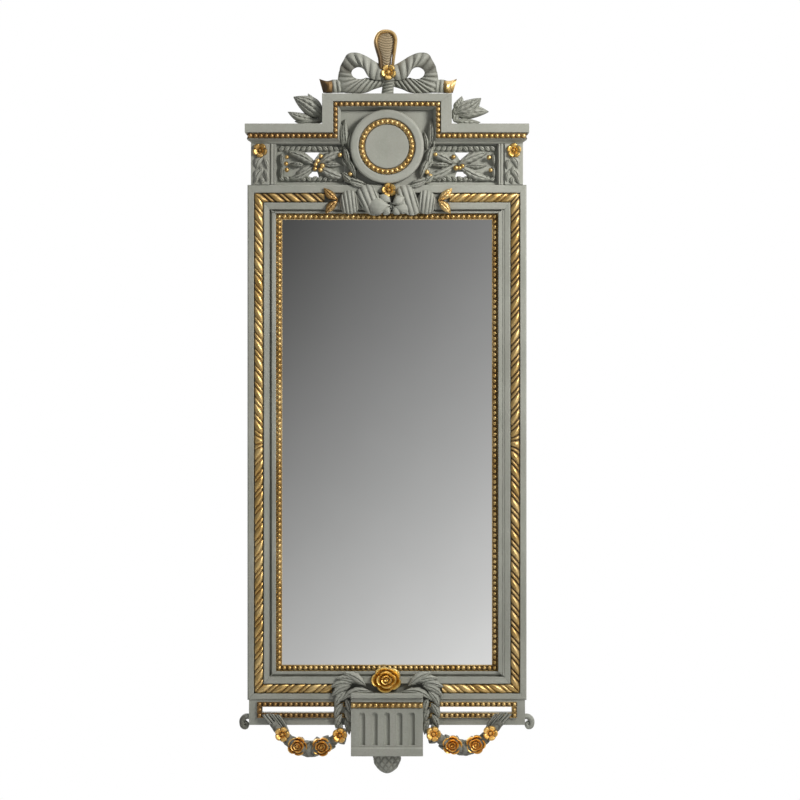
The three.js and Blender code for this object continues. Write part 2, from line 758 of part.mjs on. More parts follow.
// ---------------------------------------------------------------- apron
// Apron rail with two long slots, each with a raised border that carries the pearls.
function addApronRail() {
  const yTop = frameBottom - slotTop;
  const yBottom = yTop - slotHeight;
  const borderFront = apronFront + apronBeadRise;
  const slots = sides.map(([, side]) => block(side * slotInner, side * slotOuter, yBottom, yTop,
    apronBack - 1, borderFront + 1));
  const borders = sides.map(([, side]) => block(side * bracketHalf,
    side * (slotOuter + apronBeadWidth), yBottom - apronBeadWidth, yTop + apronBeadWidth,
    apronFront - 1, borderFront));
  const board = block(-apronHalf, apronHalf, apronBottom, apronTop, apronBack, apronFront);
  const whole = joined(board, tongue(frameBottom, -1, 0), ...borders);
  addPiece('apron_rail', cut(whole, ...slots), paintedGrey);
}

// Volute at each end of the apron rail. Points are from the rail's end at the slot's lower edge.
const volute = [
  [0.3, 0], [8, -1], [14, -6], [18, -14], [17, -25], [11, -32], [4, -31], [0.3, -26],
];

function addScrolls() {
  const middle = (apronBack + apronFront) / 2;
  for (const [name, side] of sides) {
    const shape = outline(mirrored(side, volute.map(([x, y]) =>
      [x + apronHalf, y + frameBottom - slotTop - slotHeight])));
    addPiece(`apron_scroll_${name}`, carved(shape, middle - scrollThickness / 2,
      middle + scrollThickness / 2, 2), paintedGrey);
  }
}

// Round-ended flute cut in the front of the bracket.
function flute(x, top, bottom) {
  const radius = fluteWidth / 2;
  const shape = new THREE.Shape();
  shape.absarc(x, top - radius, radius, 0, Math.PI, false);
  shape.lineTo(x - radius, bottom);
  shape.lineTo(x + radius, bottom);
  return plate(shape, bodyFront - fluteDepth, bodyFront + fluteDepth, 4);
}

// Bracket: cap, bead band, fluted body and base from one side profile, let in under the apron rail.
function addBracket() {
  const bandTop = capTop - capHeight;
  const bodyTop = bandTop - bracketBeadHeight;
  const baseTop = bracketBottom + baseHeight;
  const seat = apronBottom - fit;
  const body = crosswise(outline([
    [ornamentBack, capTop], [capFront, capTop], [capFront, capTop - capHeight / 2],
    [capFront - capStep, capTop - capHeight / 2], [capFront - capStep, bandTop],
    [bodyFront + 1, bandTop], [bodyFront + 1, bodyTop], [bodyFront, bodyTop], [bodyFront, baseTop],
    [bodyFront + baseStep, baseTop - baseStep], [bodyFront + baseStep, bracketBottom],
    [apronBack, bracketBottom], [apronBack, seat], [ornamentBack, seat],
  ]), bracketWidth);
  const flutes = [];
  for (let i = 0; i < fluteCount; i += 1) {
    const x = (i - (fluteCount - 1) / 2) * flutePitch;
    flutes.push(flute(x, bodyTop - fluteMargin, baseTop));
  }
  addPiece('bracket', cut(body, ...flutes), paintedGrey);
}

// Bud under the bracket, flattened front to back.
function addBud() {
  const shares = [[0, -1], [0.3, -0.96], [0.62, -0.72], [0.86, -0.38], [1, -0.08], [0.97, 0], [0, 0]];
  const points = shares.map(([r, y]) => new THREE.Vector2(r * budHalfWidth, y * budHeight));
  const bud = new THREE.LatheGeometry(points, 16).scale(1, 1, budFlattening);
  const middle = (apronBack + bodyFront) / 2;
  addPiece('bracket_bud', bud.translate(0, bracketBottom - fit, middle), paintedGrey);
}

function addRose() {
  const y = capTop + fit + roseHalfHeight;
  addPiece('bracket_rose', dome(0, y, roseHalfWidth, roseHalfHeight, ornamentBack, roseRelief, 14),
    gilded);
}

// Laurel bunch over the bracket's shoulder. Points are from the cap's top corner, on the right side.
const laurelBunch = [
  [-32, 0.4], [-32, 22], [-21, 34], [0, 43], [18, 36], [30, 22], [bunchReach, 8], [23, -14], [28, -34],
  [23, -54], [12, -60], [0.4, -60], [0.4, 0.4],
];

function addLaurelBunches() {
  for (const [name, side] of sides) {
    const shape = outline(mirrored(side, laurelBunch.map(([x, y]) =>
      [x + bracketHalf, y + capTop])));
    addPiece(`laurel_bunch_${name}`, carved(shape, ornamentBack, ornamentBack + bunchRelief),
      paintedGrey);
  }
}

// Garland from the apron rail's end to the bracket, with its two rosettes and two roses.
// Points are from the bracket's side at the frame's lower edge, on the right side: first the share
// of the way to the rail's end, then the height.
const garlandLine = [
  [0.795, -32], [0.745, -43], [0.668, -57], [0.525, -75], [0.42, -81], [0.288, -77], [0.116, -61],
];
const garlandFlowers = [
  [0.668, -56, garlandRosetteRadius], [0.525, -75, garlandRoseRadius],
  [0.288, -77, garlandRoseRadius], [0.116, -59.5, garlandRosetteRadius],
];
const garlandTail = [[0.858, -23], [0.697, -23], [0.594, -51], [0.646, -64], [0.738, -60]];

function addGarlands() {
  const middle = ornamentBack + garlandHalfDepth;
  const section = new THREE.Shape();
  section.absellipse(0, 0, garlandHalfDepth, garlandHalfWidth, 0, 2 * Math.PI, false);
  for (const [name, side] of sides) {
    const place = ([share, y]) => [side * (share * garlandSpan + bracketHalf), y + frameBottom];
    const path = new THREE.CatmullRomCurve3(garlandLine.map((point) => {
      const [x, y] = place(point);
      return new THREE.Vector3(x, y, middle);
    }));
    const tube = new THREE.ExtrudeGeometry(section, {
      extrudePath: path, steps: 20, bevelEnabled: false, curveSegments: 5,
    });
    const flowers = garlandFlowers.map(([fx, fy, radius]) => {
      const [x, y] = place([fx, fy]);
      return dome(x, y, radius, radius, ornamentBack, 2 * garlandHalfDepth + garlandRoseRise);
    });
    const tail = carved(outline(garlandTail.map(place)), ornamentBack, ornamentBack + tailRelief, 1.5);
    addPiece(`garland_${name}`, joined(tube, tail, ...flowers), gilded);
  }
}

addFrameMembers();
addSlips();
addRopes();
addGlassAndBack();
addTurnButtons();
addHangers();
addWallPads();
addCrestBoard();
addPilasters();
addLaurelPanels();
addCornice();
addRoundel();
addBow();
addPlume();
addShoulderLeaves();
addRibbonSwag();
addApronRail();
addScrolls();
addBracket();
addBud();
addRose();
addLaurelBunches();
addGarlands();

export default trumeau;
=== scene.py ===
import json
import math

import bpy
import numpy as np
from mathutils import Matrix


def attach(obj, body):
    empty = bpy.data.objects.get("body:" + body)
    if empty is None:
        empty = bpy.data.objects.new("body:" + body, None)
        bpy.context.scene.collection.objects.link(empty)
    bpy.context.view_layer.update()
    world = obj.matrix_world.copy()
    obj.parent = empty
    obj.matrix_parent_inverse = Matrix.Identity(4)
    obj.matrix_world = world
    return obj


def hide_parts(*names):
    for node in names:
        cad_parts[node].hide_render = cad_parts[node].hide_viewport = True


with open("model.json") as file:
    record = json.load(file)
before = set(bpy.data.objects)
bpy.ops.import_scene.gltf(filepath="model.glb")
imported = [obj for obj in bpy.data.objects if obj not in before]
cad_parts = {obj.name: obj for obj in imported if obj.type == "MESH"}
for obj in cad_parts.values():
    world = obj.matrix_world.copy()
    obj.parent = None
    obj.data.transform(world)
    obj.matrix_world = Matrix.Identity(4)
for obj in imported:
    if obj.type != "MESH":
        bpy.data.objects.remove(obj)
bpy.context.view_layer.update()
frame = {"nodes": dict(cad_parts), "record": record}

# Trumeau mirror. Every carved piece is drawn from the front in millimetres: x to the right, y up,
# z out of the wall towards the viewer, as in the part's own source. placed() turns that into the
# model's frame, where the front faces -Y. Outlines of the carving are laid out on a drawing sheet
# whose square is 1.7 mm; at() and line() turn sheet places into millimetres.
nodes = frame["nodes"]
chance = np.random.default_rng(7)

SQUARE = 1.7
SHEET_MIDDLE = 387.0
SHEET_TOP_RAIL = 185.0
FRAME_TOP = 15.5
FRAME_BOTTOM = -859.5
FRAME_HALF = 237.0
FRAME_FRONT = 26.3
BOARD_FRONT = 16.3
ROPE_INSET = 11.3
SLIP_INSET, SLIP_WIDTH = 48.2, 10
TOP_DROP = 2.6  # how much lower the rope channel of the top rail lies
PEARL_PITCH = 9.0
HANDS = (("left", -1), ("right", 1))


# ---------------------------------------------------------------- places
def at(x, y):
    """Millimetres of a place on the drawing sheet: x from its left edge, y down from its top."""
    return np.array([(x - SHEET_MIDDLE) * SQUARE, FRAME_TOP + (SHEET_TOP_RAIL - y) * SQUARE])


def line(points):
    """Millimetres of a row of sheet places."""
    return np.array([at(x, y) for x, y in points])


def handed(points, side, middle):
    """Sheet places as drawn for side 1, or mirrored about a middle for side -1."""
    return [(middle + side * (x - middle), y) for x, y in points]


def placed(points):
    """Front-view millimetres to metres in the model's frame: (x, -z, y) / 1000."""
    return np.stack([points[..., 0], -points[..., 2], points[..., 1]], -1) * 0.001


def flowing(points, count):
    """Smooth line through a few points: cubic pieces whose slope at a point is half the step
    between its two neighbours, then read again at even steps of length."""
    given = np.asarray(points, float)
    padded = np.vstack([2 * given[:1] - given[1:2], given, 2 * given[-1:] - given[-2:-1]])
    step = np.linspace(0, len(given) - 1, count * 6)
    i = np.minimum(step.astype(int), len(given) - 2)
    f = (step - i)[:, None]
    a, b, c, d = padded[i], padded[i + 1], padded[i + 2], padded[i + 3]
    fine = 0.5 * (2 * b + (c - a) * f + (2 * a - 5 * b + 4 * c - d) * f**2
                  + (3 * b - a - 3 * c + d) * f**3)
    length = np.concatenate([[0], np.cumsum(np.linalg.norm(np.diff(fine, axis=0), axis=1))])
    even = np.linspace(0, length[-1], count)
    return np.stack([np.interp(even, length, fine[:, k]) for k in range(fine.shape[1])], -1)


def ridge(phase, sharpness=0.6):
    """Row of rounded ridges with narrow valleys, 0 in the valley and 1 on the crest:
    |sin(pi phase)| to a power below one."""
    return np.abs(np.sin(np.pi * phase)) ** sharpness


def round_angles(count):
    """Even angles once round, the last one short of the first by a step."""
    return np.linspace(0, 2 * np.pi, count, endpoint=False)


# ---------------------------------------------------------------- skins and pieces
def loop_faces(count, around, joined=False):
    """Four-sided faces between neighbouring loops, and if joined from the last to the first."""
    here = np.arange(around)
    after = (here + 1) % around
    row = np.arange(count if joined else count - 1)[:, None]
    low, high = row * around, (row + 1) % count * around
    return np.stack([low + here, low + after, high + after, high + here], -1).reshape(-1, 4)


def end_fans(count, around):
    """Triangles over the first and last loop, about two middles that follow all the loops."""
    here = np.arange(around)
    after = (here + 1) % around
    middle, last = count * around, (count - 1) * around
    return np.concatenate([
        np.stack([np.full(around, middle), after, here], -1),
        np.stack([np.full(around, middle + 1), last + here, last + after], -1),
    ])


def skin(rings, glaze_and_shade=0.0):
    """Closed skin over a stack of loops (count, around, 3): four-sided faces between neighbouring
    loops and a fan over the middle of each end loop. It is turned over if its volume is negative.
    hollow is one value, one for each point of a loop, or one for every point."""
    count, around = rings.shape[:2]
    quads, fans = loop_faces(count, around), end_fans(count, around)
    points = np.concatenate([rings.reshape(-1, 3), rings[:1].mean(1), rings[-1:].mean(1)])
    shade = np.broadcast_to(glaze_and_shade, (count, around)).astype(float)
    shade = np.concatenate([shade.reshape(-1), [shade[0].mean(), shade[-1].mean()]])
    triangles = np.concatenate([quads[:, [0, 1, 2]], quads[:, [0, 2, 3]], fans])
    a, b, c = (points[triangles[:, k]] for k in range(3))
    if np.einsum("ij,ij->", a, np.cross(b, c)) < 0:
        quads, fans = quads[:, ::-1], fans[:, ::-1]
    return points, quads, fans, shade


def together(skins):
    """Several skins as one: their points in a row, each one's faces counted on from the last."""
    points, quads, fans, shades, start = [], [], [], [], 0
    for p, q, f, h in skins:
        points.append(p)
        quads.append(q + start)
        fans.append(f + start)
        shades.append(h)
        start += len(p)
    return (np.concatenate(points), np.concatenate(quads), np.concatenate(fans),
            np.concatenate(shades))


def piece(name, skins, finish, stands_for=(), crease=42.0):
    """Mesh object of some skins, riding on the frame body. Each point carries an attribute for how dark
    it is painted: glaze settled in the carving's hollows, together with painted shade in creases, under
    folds, between parts and on sides turned from the lamp."""
    points, quads, fans, shade = together(skins)
    mesh = bpy.data.meshes.new(name)
    mesh.from_pydata(placed(points).tolist(), [], quads.tolist() + fans.tolist())
    layer = mesh.attributes.new("glaze_and_shade", "FLOAT", "POINT")
    layer.data.foreach_set("value", np.clip(shade, 0, 1).astype(np.float32))
    mesh.shade_smooth()
    mesh.set_sharp_from_angle(angle=math.radians(crease))
    mesh.materials.append(FINISHES[finish])
    made = bpy.data.objects.new(name, mesh)
    bpy.context.scene.collection.objects.link(made)
    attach(made, "frame")
    if stands_for:
        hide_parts(*stands_for)


# ---------------------------------------------------------------- carved forms
def leaf(root, tip, width, back, rise, bend=0.0, teeth=0, ribs=0, lift=0.0, along=26, across=13,
         full=0.8, midrib=1.0, glaze=1.0, base=0.0):
    """Carved leaf, by s from root to tip and t across. Its midline is bowed sideways by bend sin(pi s).
    Its half-width is width/2 sin(pi s^full)^0.75, with forward teeth cut in. Its height is rise times a
    swell sin(pi s^0.85)^0.5 along and a crown (1 - |t|^2.4)^0.7 across, less a narrow midrib groove or
    the valleys of lengthwise ribs, with slanting veins. It is painted dark by an even share base of
    painted shade, plus glaze times the groove, the edges and the veins: glaze with painted shade."""
    s = np.linspace(0, 1, along)[:, None]
    t = np.linspace(-1, 1, across)[None, :]
    root, tip = np.asarray(root, float), np.asarray(tip, float)
    run = tip - root
    side = np.array([-run[1], run[0]]) / np.hypot(*run)
    half = 0.5 * width * np.sin(np.pi * np.clip(s, 0.04, 0.985) ** full) ** 0.75
    if teeth:
        half = half * (0.82 + 0.22 * np.mod(s * teeth, 1.0))
    swell = np.sin(np.pi * np.clip(s, 0.05, 0.97) ** 0.85) ** 0.5
    crown = np.clip(1 - np.abs(t) ** 2.4, 0, 1) ** 0.7
    veins = midrib * np.cos(2 * np.pi * (max(teeth, 5) * s - 1.1 * np.abs(t)))
    if ribs:
        groove = 0.8 * (1 - ridge(0.5 * (t + 1) * ribs, 0.7))
    else:
        groove = midrib * np.exp(-(t / 0.13) ** 2)
    height = rise * (0.22 + 0.78 * swell * crown)
    height = height - rise * swell * (0.26 * groove - 0.05 * veins * crown)
    floor = back + lift * s**2 + 0 * t
    forward = 0.06 * np.abs(t) * (1 - s)
    middle = root + run * (s + 0 * t + forward)[..., None]
    across_by = bend * np.sin(np.pi * s) + half * t
    flat = middle + side * across_by[..., None]
    front = np.concatenate([flat, (floor + height)[..., None]], -1)
    under = np.concatenate([flat, floor[..., None]], -1)[:, ::-1]
    shade = base + glaze * (0.34 * groove + 0.46 * np.abs(t) ** 12 + 0.06 * (midrib - veins))
    shade = np.clip(shade, 0, 1) + 0 * s
    rings = np.concatenate([front, under[:, ::3]], 1)
    return skin(rings, np.concatenate([shade, 1 + 0 * shade[:, ::3]], 1))


def band(inner, outer, back, rises, pleats, depth, slant=0.0, bow=0.0, edge=0.35, count=96,
         across=13, deep=(0.0, 0.0), glaze=0.9):
    """Pleated ribbon between two lines. A point is the mix of the inner and outer line at t. Its height
    is a rise read along the ribbon, rounded off to its edges by sin(pi t)^0.5, plus a ridge per pleat
    whose phase is pleats s + slant (t - 1/2) + bow (1 - (2t-1)^2). deep, read along the ribbon, is
    painted shade where it turns under or tucks behind its neighbour, and glaze how dark the valleys are
    painted, glaze with painted shade."""
    a, b = flowing(inner, count), flowing(outer, count)
    s = np.linspace(0, 1, count)[:, None]
    t = np.linspace(0, 1, across)[None, :]
    flat = a[:, None] * (1 - t[..., None]) + b[:, None] * t[..., None]
    fold = ridge(pleats * s + slant * (t - 0.5) + bow * (1 - (2 * t - 1) ** 2), 0.75)
    rise = np.interp(s, np.linspace(0, 1, len(rises)), rises)
    rounded = edge + (1 - edge) * np.sin(np.pi * np.clip(t, 0.02, 0.98)) ** 0.5
    height = rise * rounded + depth * (fold - 0.7) * np.sin(np.pi * np.clip(t, 0.1, 0.9)) ** 0.3
    floor = back + 0 * height
    front = np.concatenate([flat, (floor + np.maximum(height, 0.5))[..., None]], -1)
    under = np.concatenate([flat, floor[..., None]], -1)[:, ::-1]
    shade = (1 - fold) ** 1.6 * glaze + 0.3 * np.abs(2 * t - 1) ** 8
    shade = np.clip(shade + np.interp(s, np.linspace(0, 1, len(deep)), deep), 0, 1)
    rings = np.concatenate([front, under[:, ::4]], 1)
    return skin(rings, np.concatenate([shade, 1 + 0 * shade[:, ::4]], 1))


def strand(points, middle, half, thick, relief, count, around=18):
    """Rounded strand along a line in the drawing. A ring point lies half cos(a) to the side and thick
    sin(a) above the middle depth; relief(s, a) gives a scale of the ring and how dark each point is
    painted, glaze and painted shade."""
    path = flowing(points, count)
    way = np.gradient(path, axis=0)
    way /= np.linalg.norm(way, axis=1)[:, None]
    side = np.stack([-way[:, 1], way[:, 0]], -1)[:, None]
    s = np.linspace(0, 1, count)[:, None]
    a = round_angles(around)[None, :]
    scale, shade = relief(s, a)
    half = np.interp(s, np.linspace(0, 1, len(half)), half)
    thick = np.interp(s, np.linspace(0, 1, len(thick)), thick)
    flat = path[:, None] + side * (half * scale * np.cos(a))[..., None]
    depth = middle + thick * scale * np.sin(a)
    return skin(np.concatenate([flat, depth[..., None]], -1), shade)


def rosette(centre, radius, back, rise, petals=5, turn=0.3, button=0.3):
    """Open flower, by angle a and r from 0 to 1. Its reach is scalloped by the square root of
    lobe = |cos(petals a / 2)|. The petals are a cup that rises by sin(pi r / 2)^2.2 to its lip and
    turns down past it, lower in the clefts, where lobe is small. A round button stands inside."""
    a = round_angles(14 * petals)[None, :]
    r = np.linspace(0.04, 1, 19)[:, None]
    lip = 0.86
    lobe = np.abs(np.cos(petals * (a - turn) / 2))
    reach = radius * r * (0.82 + 0.18 * lobe**0.5)
    cup = 0.26 + 0.60 * np.sin(0.5 * np.pi * np.clip(r / lip, 0, 1)) ** 2.2
    cup = cup * (0.60 + 0.40 * lobe**0.35) - 0.42 * (np.clip(r - lip, 0, 1) / 0.14) ** 1.5
    dome = 0.90 * np.sqrt(np.clip(1 - (r / button) ** 2, 0, 1)) + 0 * a
    ring_dip = np.exp(-((r - button * 1.08) / 0.07) ** 2)
    height = rise * np.maximum(cup, dome) * (1 - 0.25 * ring_dip)
    shade = np.clip(0.16 + (1 - lobe) ** 4 * 2.0 * r + 0.7 * ring_dip, 0, 1)
    return flower_skin(centre, a, reach, back + height, shade, back)


def rose(centre, radius_x, radius_y, back, rise, turn=0.0):
    """Open rose: a bud of 2 and rings of 3, 4 and 5 petals. Between a ring's foot and its lip the
    height rises by sin(pi q / 2) and rolls over at the lip, one side of each petal standing higher
    than the other. Each lip is scalloped by |cos(n a / 2)| and overhangs the next ring's foot."""
    a = round_angles(100)[None, :]
    q = np.array([0.02, 0.12, 0.30, 0.50, 0.70, 0.86, 0.95, 1.0])[:, None]
    edges, counts = [0.015, 0.15, 0.36, 0.66, 1.0], [2, 3, 4, 5]
    feet, lips = [0.86, 0.62, 0.44, 0.22], [0.98, 1.0, 0.90, 0.66]
    inner = edges[0] + 0 * a
    reach, height, shade = [], [], []
    for k, count in enumerate(counts):
        angle = a - turn - 1.3 * k
        lobe = np.abs(np.cos(count * angle / 2))
        outer = edges[k + 1] * (0.80 + 0.20 * lobe**0.55)
        lean = np.mod(count * angle / (2 * np.pi) + 0.5, 1.0) - 0.5
        roll = 0.16 * np.clip((q - 0.80) / 0.20, 0, 1) ** 2 * (1.8 if k == 3 else 1.0)
        lift = (lips[k] - feet[k]) * np.sin(0.5 * np.pi * q) * (0.70 + 0.30 * lobe**0.4)
        reach.append(inner + q * (outer - inner))
        height.append(feet[k] + lift + 0.22 * lean * q - roll + 0 * a)
        foot_line = np.exp(-(q / 0.13) ** 2) * (0.1 if k == 0 else 0.7)
        shade.append(np.clip(foot_line + 0.7 * (1 - lobe) ** 6 * q, 0, 1))
        inner = outer
    depth = back + rise * np.concatenate(height)
    return flower_skin(centre, a, np.concatenate(reach), depth, np.concatenate(shade), back,
                       (radius_x, radius_y))


def flower_skin(centre, a, reach, depth, shade, foot, stretch=(1.0, 1.0)):
    """Rings from the middle of a flower out to its edge, then straight down to its foot."""
    flat = np.stack([centre[0] + stretch[0] * reach * np.cos(a),
                     centre[1] + stretch[1] * reach * np.sin(a)], -1)
    front = np.concatenate([flat, depth[..., None]], -1)
    edge = front[-1:].copy()
    edge[..., 2] = foot
    shade = np.concatenate([shade + 0 * depth, np.ones_like(depth[-1:])])
    return skin(np.concatenate([front, edge]), shade)


def pearls(centres, radius, wobble=0.03):
    """Row of turned pearls, each of four loops of eight points and two poles, all worked out at once.
    They are painted darker towards the bed they sit in: painted shade where each pearl meets its bed and
    its neighbours."""
    loops, around = 4, 8
    centres = np.asarray(centres, float)
    up = np.radians([-40.0, 0.0, 34.0, 62.0])[:, None]
    a = round_angles(around)[None, :]
    ball = np.stack([np.cos(up) * np.cos(a), np.cos(up) * np.sin(a), np.sin(up) + 0 * a], -1)
    ball = np.concatenate([ball.reshape(-1, 3), [[0, 0, -0.8], [0, 0, 1]]])
    size = radius * (1 + wobble * chance.standard_normal((len(centres), 1, 1)))
    points = (centres[:, None] + size * ball).reshape(-1, 3)
    start = (np.arange(len(centres)) * len(ball))[:, None, None]
    quads = (loop_faces(loops, around) + start).reshape(-1, 4)
    fans = (end_fans(loops, around) + start).reshape(-1, 3)
    one = np.concatenate([np.repeat([1.0, 0.80, 0.16, 0.0], around), [1.0, 0.0]])
    return points, quads, fans, np.tile(one, len(centres))


def row_of(start, end, pitch, depth):
    """Even places from start to end, near the pitch, at one depth."""
    start, end = np.asarray(start, float), np.asarray(end, float)
    gaps = max(1, round(np.hypot(*(end - start)) / pitch))
    share = np.linspace(0, 1, gaps + 1)[:, None]
    return np.concatenate([start + (end - start) * share, np.full((gaps + 1, 1), depth)], 1)


# ---------------------------------------------------------------- mouldings
def softened(corners, radius=0.9, steps=3):
    """Closed section with its corners rounded: at each corner a curve from the point one radius before
    it to the point one radius after, with a support point either side that keeps the flats flat. A third
    number in a corner is how dark it is painted there: glaze with painted shade."""
    given = np.array([[c[0], c[1], c[2] if len(c) > 2 else 0.0] for c in corners], float)
    before, after = np.roll(given, 1, 0), np.roll(given, -1, 0)
    out = []
    for p, a, b in zip(given, before, after):
        to_a, to_b = a[:2] - p[:2], b[:2] - p[:2]
        long_a, long_b = np.hypot(*to_a), np.hypot(*to_b)
        cut_a, cut_b = min(radius, 0.40 * long_a), min(radius, 0.40 * long_b)
        pa, pb = p[:2] + to_a / long_a * cut_a, p[:2] + to_b / long_b * cut_b
        f = np.linspace(0, 1, steps + 1)[:, None]
        curve = (1 - f) ** 2 * pa + 2 * f * (1 - f) * p[:2] + f**2 * pb
        lead = p[:2] + to_a / long_a * cut_a * 1.2
        tail = p[:2] + to_b / long_b * cut_b * 1.2
        ring = np.vstack([lead, curve, tail])
        out.append(np.concatenate([ring, np.full((len(ring), 1), p[2])], 1))
    return np.concatenate(out)


SIDES = {
    "left": ((-1, 1), (1, 0)),
    "right": ((1, -1), (-1, 0)),
    "top": ((1, 1), (0, -1)),
    "bottom": ((-1, -1), (0, 1)),
}


def frame_side(name, inset):
    """Start, inward and along directions and length of one side of the frame, set in by inset."""
    (corner_x, corner_y), inward = SIDES[name]
    half = FRAME_HALF - inset
    top, bottom = FRAME_TOP - inset, FRAME_BOTTOM + inset
    start = np.array([corner_x * half, top if corner_y > 0 else bottom])
    inward = np.array(inward, float)
    along = np.array([inward[1], -inward[0]])
    return start, inward, along, (top - bottom if name in ("left", "right") else 2 * half)


def mitred_run(name, inset, section, meets=None):
    """Section (inward, depth, hollow) carried along one side of the frame with a mitre at each end:
    each point of the run ends a hair short of where the same point of the section it meets lies."""
    gap = 0.2
    start, inward, along, length = frame_side(name, inset)
    d, z = section[:, 0], section[:, 1]
    first, last = (other[:, 0] for other in meets or (section, section))
    ends = np.stack([first + gap, length / 2 + 0 * d, length - last - gap])
    flat = start + ends[..., None] * along + d[None, :, None] * inward
    rings = np.concatenate([flat, np.broadcast_to(z, ends.shape)[..., None]], -1)
    return skin(rings, np.broadcast_to(section[:, 2], ends.shape))


def turned_disc(centre, section, segments=96):
    """Section (radius, depth, hollow) turned about an axis towards the viewer."""
    a = round_angles(segments)[None, :]
    r, z = section[:, :1], section[:, 1:2]
    rings = np.stack([centre[0] + r * np.cos(a), centre[1] + r * np.sin(a), z + 0 * a], -1)
    return skin(rings, section[:, 2:3] + 0 * a)


def corner_ring(x, y, z):
    """Loop of points from their coordinates, each a row of values or one value for all."""
    return np.stack(np.broadcast_arrays(x, y, z), -1).astype(float)


def straight(ring_a, ring_b, glaze_and_shade=0.0):
    """Bar between two loops of the same number of points."""
    return skin(np.stack([ring_a, ring_b]), glaze_and_shade)


def ring_skin(centre, section, segments=96):
    """Closed ring: a section (radius, depth, hollow) carried once round a centre and joined up."""
    a = round_angles(segments)[:, None]
    r, z, h = section[None, :, 0], section[None, :, 1], section[None, :, 2]
    points = corner_ring(centre[0] + r * np.cos(a), centre[1] + r * np.sin(a), z)
    quads = np.roll(loop_faces(segments, len(section), joined=True)[:, ::-1], 1, axis=1)
    return points.reshape(-1, 3), quads, np.zeros((0, 3), int), (h + 0 * a).reshape(-1)


def bed(start, end, half, depth):
    """Flat gilded bed of a pearl row between two places, half as wide to each side and painted dark:
    glaze and painted shade between the pearls.
    """
    start, end = np.asarray(start, float), np.asarray(end, float)
    way = (end - start) / np.hypot(*(end - start))
    side = np.array([-way[1], way[0]]) * half
    offsets = np.array([-1.0, -0.8, 0.8, 1.0])[:, None] * side
    depths = depth - np.array([1.2, 0, 0, 1.2])
    return straight(*(corner_ring(*(place + offsets).T, depths) for place in (start, end)), 0.80)


# ---------------------------------------------------------------- finishes
class Value:
    """One socket of a material, so that shader maths reads as an expression."""

    def __init__(self, bench, socket):
        self.bench = bench
        self.socket = socket

    def _maths(self, operation, first, second):
        node = self.bench.make("ShaderNodeMath", {"operation": operation}, {0: first, 1: second})
        return Value(self.bench, node.outputs[0])

    def __add__(self, other): return self._maths("ADD", self, other)
    def __radd__(self, other): return self._maths("ADD", other, self)
    def __sub__(self, other): return self._maths("SUBTRACT", self, other)
    def __rsub__(self, other): return self._maths("SUBTRACT", other, self)
    def __mul__(self, other): return self._maths("MULTIPLY", self, other)
    def __rmul__(self, other): return self._maths("MULTIPLY", other, self)
    def __pow__(self, other): return self._maths("POWER", self, other)

    def most(self, other): return self._maths("MAXIMUM", self, other)
    def least(self, other): return self._maths("MINIMUM", self, other)

    def between(self, low, high):
        """0 below low, 1 above high and a smooth step in between."""
        node = self.bench.make("ShaderNodeMapRange", {"interpolation_type": "SMOOTHSTEP"},
                               {"Value": self, "From Min": low, "From Max": high})
        return Value(self.bench, node.outputs[0])

    def mix(self, dark, light):
        """Colour between two colours, light where this value is 1."""
        node = self.bench.make("ShaderNodeMix", {"data_type": "RGBA"},
                               {0: self, 6: dark, 7: light})
        return Value(self.bench, node.outputs[2])


class Bench:
    """Node tree of one material or world."""

    def __init__(self, owner):
        owner.use_nodes = True
        self.owner = owner
        self.tree = owner.node_tree
        self.tree.nodes.clear()

    def make(self, kind, settings=None, sockets=None):
        """Any node: its type, its settings, and the values or links of its sockets."""
        node = self.tree.nodes.new(kind)
        for key, value in (settings or {}).items():
            setattr(node, key, value)
        for key, value in (sockets or {}).items():
            if isinstance(value, Value):
                self.tree.links.new(value.socket, node.inputs[key])
            elif isinstance(value, tuple) and len(value) == 3 and node.inputs[key].type == "RGBA":
                node.inputs[key].default_value = (*value, 1.0)
            else:
                node.inputs[key].default_value = value
        return node

    def read(self, kind, output=0, settings=None, sockets=None):
        return Value(self, self.make(kind, settings, sockets).outputs[output])

    def here(self, stretch=(1, 1, 1)):
        """Object coordinates, stretched for grain and brush marks."""
        place = self.read("ShaderNodeTexCoord", "Object")
        return self.read("ShaderNodeVectorMath", 0, {"operation": "MULTIPLY"},
                         {0: place, 1: stretch})

    def noise(self, scale, detail=3.0, rough=0.55, stretch=(1, 1, 1)):
        return self.read("ShaderNodeTexNoise", 0, None, {
            "Vector": self.here(stretch), "Scale": scale, "Detail": detail, "Roughness": rough})

    def attribute(self, name):
        return self.read("ShaderNodeAttribute", "Fac", {"attribute_name": name})

    def place(self, axis):
        """One object coordinate, in metres: 0 across, 1 front to back, 2 up."""
        split = self.make("ShaderNodeSeparateXYZ", None, {0: self.here()})
        return Value(self, split.outputs[axis])

    def bump(self, height, distance, strength=1.0):
        return self.read("ShaderNodeBump", 0, None, {
            "Strength": strength, "Distance": distance, "Height": height})

    def surface(self, sockets):
        shader = self.make("ShaderNodeBsdfPrincipled", None, sockets)
        out = self.make("ShaderNodeOutputMaterial")
        self.tree.links.new(shader.outputs[0], out.inputs[0])
        return self.owner


def finish_named(name):
    return Bench(bpy.data.materials.new(name))


